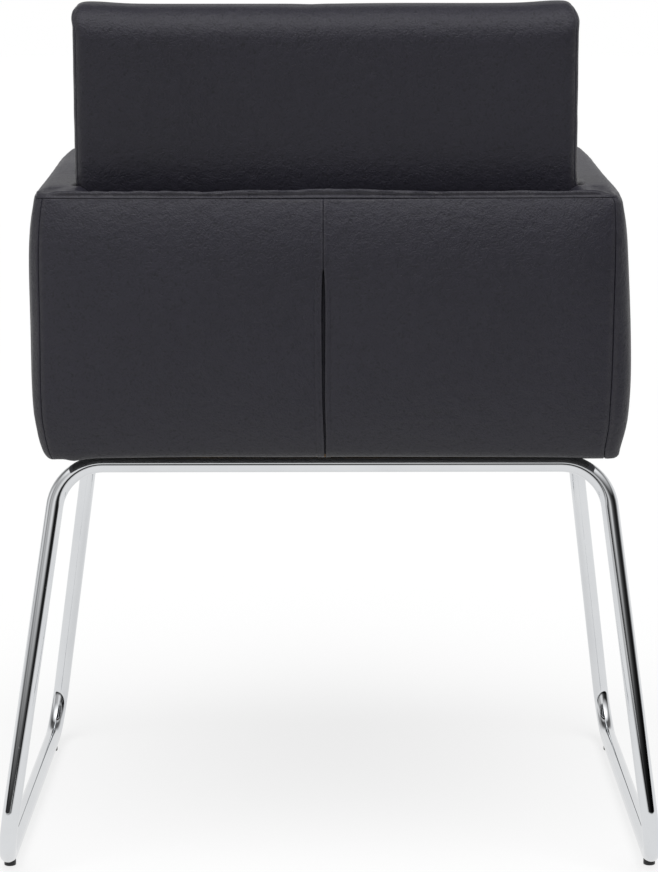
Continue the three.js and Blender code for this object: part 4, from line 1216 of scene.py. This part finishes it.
def rounded(corners, step):
    """Points evenly spaced round an outline with rounded corners, each corner a Y, a Z and a radius."""
    dense = []
    count = len(corners)
    for i, (y, z, radius) in enumerate(corners):
        corner = Vector((y, z))
        before = Vector(corners[i - 1][:2])
        after = Vector(corners[(i + 1) % count][:2])
        into = (corner - before).normalized()
        out = (after - corner).normalized()
        turn = math.atan2(into.x * out.y - into.y * out.x, into.dot(out))
        reach = radius * math.tan(abs(turn) / 2)
        start = corner - into * reach
        across = Vector((-into.y, into.x)) * (1 if turn > 0 else -1)
        centre = start + across * radius
        for k in range(25):
            angle = turn * k / 24
            arm, cosine, sine = start - centre, math.cos(angle), math.sin(angle)
            turned = Vector((arm.x * cosine - arm.y * sine, arm.x * sine + arm.y * cosine))
            dense.append(centre + turned)
    dense.append(dense[0])
    lengths = [0.0]
    for a, b in zip(dense, dense[1:]):
        lengths.append(lengths[-1] + (b - a).length)
    steps = 2 * round(lengths[-1] / step / 2)
    found = []
    for k in range(steps):
        target = lengths[-1] * k / steps
        i = clamp(bisect.bisect_right(lengths, target) - 1, 0, len(dense) - 2)
        share = (target - lengths[i]) / max(lengths[i + 1] - lengths[i], 1e-9)
        found.append(dense[i].lerp(dense[i + 1], share))
    return found


def cushion(name, profile, core, half, edge_radius, seam_angle, shape, pressure, cap, node_names):
    """A cushion of a profile drawn out along X, with a sewn-in panel at each end. Core gives the place that a point
    of an end panel draws in towards, and shape moves the finished form into the chair."""
    edge = edge_radius * math.pi / 2
    seam_at = edge_radius * seam_angle
    reach = half - edge_radius

    def ring(t):
        """The X, the inset over the edge and how far in along the end, at a distance out from the middle."""
        if t <= reach:
            return t, 0.0, 0.0
        angle = (t - reach) / edge_radius
        if angle <= math.pi / 2:
            return reach + edge_radius * math.sin(angle), edge_radius * (1 - math.cos(angle)), 0.0
        return half, edge_radius, t - reach - edge

    inner_reach = 24.0
    last = reach + edge + inner_reach
    seam = reach + seam_at
    ends = [seam - d for d in BESIDE_CUSHION_SEAM] + [seam] + [seam + d for d in BESIDE_CUSHION_SEAM[:-1]]
    ends = [t for t in ends if t < last - 3] + [last - inner_reach * share for share in (0.5, 0.25, 0)]
    ends = sorted(ends)
    flat_end = ends[0]
    steps = round(2 * flat_end / PROFILE_STEP)
    middle = [-flat_end + 2 * flat_end * i / steps for i in range(1, steps)]
    fine = [-t for t in reversed(ends)] + middle + ends
    spare, cells = last - seam, round(2 * seam / CUSHION_CELL)
    rough = [-last + spare * i / 5 for i in range(5)]
    rough += [-seam + 2 * seam * i / cells for i in range(cells + 1)]
    rough += [seam + spare * i / 5 for i in range(1, 6)]

    def form(stations):
        points = []
        for t in stations:
            x, inset, drawn = ring(abs(t))
            x *= 1 if t >= 0 else -1
            for spot in profile:
                middle_spot = core(spot)
                arm = spot - middle_spot
                length = max(arm.length, 1e-6)
                kept = max(length - inset - drawn, 0.6) / length
                placed = middle_spot + arm * kept
                points.append(Vector((x, placed.x, placed.y)))
        return points

    count = len(profile)

    def end_faces(first):
        """Quads across an end, each between two points of the profile and the two opposite them."""
        half_count = count // 2
        faces = [(first, first + 1, first + count - 1)]
        for j in range(1, half_count - 1):
            faces.append((first + j, first + j + 1, first + count - j - 1, first + count - j))
        faces.append((first + half_count - 1, first + half_count, first + half_count + 1))
        return faces

    def skin_faces(stations):
        faces = [
            (i * count + j, i * count + (j + 1) % count, (i + 1) * count + (j + 1) % count, (i + 1) * count + j)
            for i in range(len(stations) - 1)
            for j in range(count)
        ]
        faces += [face[::-1] for face in end_faces(0)]
        faces += end_faces((len(stations) - 1) * count)
        return faces

    def outward(points, faces):
        a, _, c, _ = (points[i] for i in faces[len(faces) // 2])
        centre = Vector((0, sum(p.y for p in points) / len(points), sum(p.z for p in points) / len(points)))
        return facing_out(points, faces, len(faces) // 2, (a + c) / 2 - centre)

    start = [shape(point) for point in form(fine)]
    rough_points = [shape(point) for point in form(rough)]
    rough_faces = outward(rough_points, skin_faces(rough))
    pinned = {i * count + j for i, t in enumerate(rough) for j in range(count) if abs(abs(t) - seam) < 0.01}
    rough_moves = settle(name, rough_points, rough_faces, pinned, pressure, cap, stretch=0.006)
    moves = []
    for t in fine:
        i = int(clamp(bisect.bisect_right(rough, t) - 1, 0, len(rough) - 2))
        share = clamp((t - rough[i]) / (rough[i + 1] - rough[i]))
        for j in range(count):
            moves.append(rough_moves[i * count + j].lerp(rough_moves[(i + 1) * count + j], share))
    points = [point + move for point, move in zip(start, moves)]
    faces = outward(points, skin_faces(fine))
    pad = mesh_piece(name, points, faces)
    normals = [vertex.normal.copy() for vertex in pad.data.vertices]
    wear_and_highlight_levels = []
    for i, t in enumerate(fine):
        near = abs(abs(t) - seam)
        for j in range(count):
            vertex = pad.data.vertices[i * count + j]
            point = vertex.co / MM
            rise = -seam_depth(near) * CUSHION_SEAM_SHARE
            rise += 0.5 * wander(point, 90, 8) * risen(near, 25)
            rise += 0.35 * wander(point, 9, 9) * (near / 3) * math.exp(1 - near / 3)
            vertex.co = (point + normals[i * count + j] * rise) * MM
            wear_and_highlight_levels.append(seam_wear_and_highlight(near))
    mark_wear_and_highlight(pad, wear_and_highlight_levels)
    modified(pad, "SUBSURF", levels=1, render_levels=1)
    dressed(pad, leather, "black_leather", *node_names, smooth=60)


def make_back():
    profile = rounded(
        [
            (BACK_THICKNESS / 2, BACK_LOW, 0.01),
            (BACK_THICKNESS, BACK_LOW, 12),
            (BACK_THICKNESS, BACK_HIGH, 28),
            (0, BACK_HIGH, 28),
            (0, BACK_LOW, 12),
        ],
        PROFILE_STEP,
    )
    lean = Matrix.Translation(BACK_PIVOT) @ Matrix.Rotation(BACK_RECLINE, 4, "X")
    middle = BACK_THICKNESS / 2

    def core(spot):
        return Vector((middle, clamp(spot.y, BACK_LOW + middle, BACK_HIGH - middle)))

    def shape(point):
        """The cushion as it lies in the chair: crowned, its upper corners puffed, and its foot tucked in at the rear
        and set down on the seat."""
        width_share = point.x / CUSHION_HALF
        height_share = 2 * (point.z - BACK_LOW) / (BACK_HIGH - BACK_LOW) - 1
        front_share = clamp(point.y / BACK_THICKNESS)
        crown = (1 - clamp(width_share**4)) * (1 - clamp(height_share**4))
        above = point.z / BACK_HIGH
        spread = (3.4 - 0.9 * above) * eased((point.z + 14) / 20) + 2 * min(above, 0)
        x = point.x + width_share * spread - BACK_SHIFT * eased(point.z / 16)
        if point.x < 0:
            x -= 2.0 * eased((point.z - 150) / 8) * abs(width_share) ** 3
        else:
            bulge = 1.1 * hump(point.z - 154, 5) - 0.9 * eased((point.z - 158) / 5)
            x += bulge * abs(width_share) ** 3
        y = point.y + crown * (4.5 * front_share - 1.5 * (1 - front_share))
        y += BACK_TUCK * clamp((52 - point.z) / 60) ** 5 * (1 - front_share) * (1 - clamp(abs(width_share)) ** 8)
        puffed = hump(abs(point.x) - 207, 24)
        raised = 0.9 * hump(point.x - 30, 120)
        z = point.z + (2.2 * puffed + raised - BACK_TOP_SINK) * clamp(above) ** 3
        z -= BACK_FOOT_SINK * eased((BACK_LOW + 45 - point.z) / 45)
        return lean @ Vector((x, y, z))

    cushion(
        "leather_back_cushion",
        profile,
        core,
        half=CUSHION_HALF - 0.3,
        edge_radius=11,
        seam_angle=math.radians(48),
        shape=shape,
        pressure=4.0,
        cap=3.0,
        node_names=("back_cover", "back_foam"),
    )


def make_seat():
    under, foot = SEAT_BOARD_TOP + 0.7, BODY_BOTTOM + 0.5
    profile = rounded(
        [
            (SEAT_REAR, (SEAT_BOARD_TOP + SEAT_TOP) / 2, 0.01),
            (SEAT_REAR, under, 10),
            (SEAT_BOARD_FRONT, under, 2),
            (SEAT_BOARD_FRONT, foot, 2),
            (SEAT_FRONT, foot, 10),
            (SEAT_FRONT, SEAT_TOP, 26),
            (SEAT_REAR, SEAT_TOP, 12),
        ],
        PROFILE_STEP,
    )

    def core(spot):
        return Vector((clamp(spot.x, SEAT_REAR + 24, SEAT_FRONT - 14), clamp(spot.y, 424, SEAT_TOP - 24)))

    def shape(point):
        width_share = point.x / CUSHION_HALF
        height_share = clamp((point.z - BODY_BOTTOM) / (SEAT_TOP - BODY_BOTTOM))
        length_share = (point.y - (SEAT_REAR + SEAT_FRONT) / 2) / ((SEAT_FRONT - SEAT_REAR) / 2)
        crown = (1 - clamp(width_share**4)) * (1 - clamp(length_share**4))
        z = point.z + 0.6 * SEAT_CROWN * crown * height_share
        return Vector((point.x, point.y - 1.5, z))

    cushion(
        "leather_seat_cushion",
        profile,
        core,
        half=CUSHION_HALF - 0.5,
        edge_radius=9,
        seam_angle=math.radians(30),
        shape=shape,
        pressure=3.0,
        cap=2.6,
        node_names=("seat_cover", "seat_foam"),
    )


make_back()
make_seat()

# Under the seat


def make_dust_cover():
    """A sheet of non-woven cloth stapled under the seat board, with a hole for each spacer of the frame."""
    low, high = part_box("dust_cover")
    size = high - low
    middle = (low + high) / 2
    bpy.ops.mesh.primitive_grid_add(x_subdivisions=60, y_subdivisions=60, size=1, location=middle)
    sheet = bpy.context.object
    sheet.name = "dust_cover_cloth"
    sheet.scale = (size.x, size.y, 1)
    bpy.ops.object.transform_apply(location=True, rotation=True, scale=True)
    for vertex in sheet.data.vertices:
        point = vertex.co / MM
        edge = min(point.x - low.x / MM, high.x / MM - point.x, point.y - low.y / MM, high.y / MM - point.y)
        sag = 1.2 * risen(edge, 60) + 0.5 * wander(point, 45, 11) * risen(edge, 15)
        bolt = min((point.xy - Vector(place)).length for place in BOLTS)
        vertex.co.z = high.z - (0.4 + sag * clamp((bolt - 14) / 40)) * MM
    modified(sheet, "SOLIDIFY", thickness=0.5 * MM, offset=0)
    for x, y in BOLTS:
        place = (x * MM, y * MM, middle.z)
        bpy.ops.mesh.primitive_cylinder_add(vertices=40, radius=SPACER_HOLE * MM, depth=20 * MM, location=place)
        punch = bpy.context.object
        modified(sheet, "BOOLEAN", operation="DIFFERENCE", object=punch, solver="EXACT")
        bpy.data.objects.remove(punch)
    dressed(sheet, felt, "black_felt", "dust_cover")


make_dust_cover()

# The pieces that stay as the frame has them
FINISHES = {"zinc_steel": zinc, "frame_chrome": chrome, "black_plastic": plastic}
PLIES = {
    "seat_board": (0.0, 0.0, 1.0),
    "arm_board_left": (1.0, 0.0, 0.0),
    "arm_board_right": (1.0, 0.0, 0.0),
    "rear_board": (0.0, 1.0, 0.0),
    "back_board": (0.0, 0.9945, 0.1045),
}
slots = {row["node"]: row["material_slot"] for row in frame["record"]["subparts"]}
for name, obj in frame["nodes"].items():
    if obj.hide_render:
        continue
    if name in PLIES:
        finish = plywood_material(f"Plywood {name}", PLIES[name])
    else:
        finish = FINISHES[slots[name]]
    if not obj.material_slots:
        obj.data.materials.append(finish)
    for slot in obj.material_slots:
        slot.material = finish

# Floor, light and camera


def make_floor():
    """A floor that looks white to the camera and keeps the chair's shadow. It is dark to the leather nearby."""
    bpy.ops.mesh.primitive_plane_add(size=60, location=(0, 0, 0))
    floor = bpy.context.object
    floor.name = "studio_floor"
    material = bpy.data.materials.new("Studio floor")
    material.use_nodes = True
    tree = material.node_tree
    tree.nodes.clear()
    rays = put(tree, "LightPath")
    place = put(tree, "SeparateXYZ", {0: put(tree, "TexCoord").outputs["Object"]})
    reach = ramp(tree, place.outputs[1], -2.6, -1.1, 0.0, 1.0)
    reach = math_of(tree, "MAXIMUM", reach, ramp(tree, place.outputs[0], -0.5, -2.0, 0.0, 0.65))
    seen = math_of(tree, "MAXIMUM", rays.outputs["Is Camera Ray"], rays.outputs["Is Transmission Ray"])
    bounce = math_of(tree, "MAXIMUM", seen, math_of(tree, "MULTIPLY", reach, FLOOR_BOUNCE))
    glare = math_of(tree, "MAXIMUM", seen, math_of(tree, "MULTIPLY", reach, FLOOR_GLARE))
    glow = math_of(tree, "MAXIMUM", seen, rays.outputs["Is Glossy Ray"])
    sheen = math_of(tree, "MULTIPLY", glow, FLOOR_SHEEN)
    paint = put(tree, "BsdfDiffuse", {"Color": blended(tree, bounce, (0.06, 0.06, 0.06, 1), (0.8, 0.8, 0.8, 1))})
    light = put(tree, "Emission", {"Color": WHITE, "Strength": glare})
    mixed = put(tree, "MixShader", {0: sheen, 1: paint.outputs[0], 2: light.outputs[0]})
    out = put(tree, "OutputMaterial")
    tree.links.new(mixed.outputs[0], out.inputs["Surface"])
    floor.data.materials.append(material)


def make_world():
    """White to the camera, a plain level light to the leather, and a lit studio in what the surfaces mirror."""
    world = bpy.data.worlds.new("Studio")
    bpy.context.scene.world = world
    world.use_nodes = True
    tree = world.node_tree
    tree.nodes.clear()
    rays = put(tree, "LightPath")
    way = put(tree, "SeparateXYZ", {0: put(tree, "TexCoord").outputs["Generated"]})
    x, y, z = way.outputs
    heading = math_of(tree, "ARCTAN2", x, math_of(tree, "MULTIPLY", y, -1.0))
    lift = math_of(tree, "ARCSINE", z, 0.0)
    round_about = put(tree, "ValToRGB", {0: ramp(tree, heading, -math.pi, math.pi, 0.0, 1.0)})
    stretch = round_about.color_ramp
    stretch.interpolation = "LINEAR"
    for angle, _ in STUDIO_ROUND[1:-1]:
        stretch.elements.new((angle + 180) / 360)
    for stop, (_, level) in zip(stretch.elements, STUDIO_ROUND):
        stop.color = (level, level, level, 1)
    sides = round_about.outputs[0]
    front = ramp(tree, y, -0.2, 0.1, 1.0, 0.0)
    haze = math_of(tree, "MULTIPLY", front, ramp(tree, lift, 0.03, 0.15, 1.0, 0.0))
    level = math_of(tree, "MULTIPLY", sides, math_of(tree, "SUBTRACT", 1.0, math_of(tree, "MULTIPLY", haze, 0.93)))
    level = math_of(tree, "MULTIPLY", level, math_of(tree, "MAXIMUM", front, ramp(tree, lift, 0.32, 0.7, 1.0, 0.15)))
    overhead = ramp(tree, lift, 0.3, 1.2, 0.0, OVERHEAD_GLOW)
    level = math_of(tree, "MAXIMUM", level, math_of(tree, "MULTIPLY", ramp(tree, y, -0.2, 0.35, 1.0, 0.05), overhead))
    mirrored, plain, white = (
        put(tree, "Background", {"Color": WHITE, "Strength": strength}).outputs[0]
        for strength in (level, PLAIN_LIGHT, 1.0)
    )
    lit = put(tree, "MixShader", {0: rays.outputs["Is Glossy Ray"], 1: plain, 2: mirrored})
    shown = put(tree, "MixShader", {0: rays.outputs["Is Camera Ray"], 1: lit.outputs[0], 2: white})
    out = put(tree, "OutputWorld")
    tree.links.new(shown.outputs[0], out.inputs["Surface"])


def make_lamps():
    bpy.ops.object.light_add(type="SUN", rotation=(math.radians(SUN_TILT), 0, 0))
    sun = bpy.context.object
    sun.name = "overhead_light"
    sun.data.energy = SUN_STRENGTH
    sun.data.angle = math.radians(SUN_SPREAD)
    sun.visible_glossy = False


def make_camera():
    """The photograph's view: a long lens a little above the chair, looking slightly down on its back."""
    data = bpy.data.cameras.new("camera")
    camera = bpy.data.objects.new("camera", data)
    bpy.context.scene.collection.objects.link(camera)
    yaw, pitch, roll = (math.radians(angle) for angle in (CAMERA_YAW, CAMERA_PITCH, CAMERA_ROLL))
    ahead = Vector((math.sin(yaw) * math.cos(pitch), math.cos(yaw) * math.cos(pitch), -math.sin(pitch)))
    level = Vector((math.cos(yaw), -math.sin(yaw), 0))
    upright = level.cross(ahead)
    right = level * math.cos(roll) + upright * math.sin(roll)
    above = upright * math.cos(roll) - level * math.sin(roll)
    turn = Matrix((right, above, -ahead)).transposed().to_4x4()
    camera.matrix_world = Matrix.Translation(CAMERA_PLACE * MM) @ turn
    data.lens = LENS
    data.sensor_width = 36
    data.clip_start = 0.05
    data.clip_end = 200
    bpy.context.scene.camera = camera


make_floor()
make_world()
make_lamps()
make_camera()
bpy.context.scene.view_settings.view_transform = "Standard"
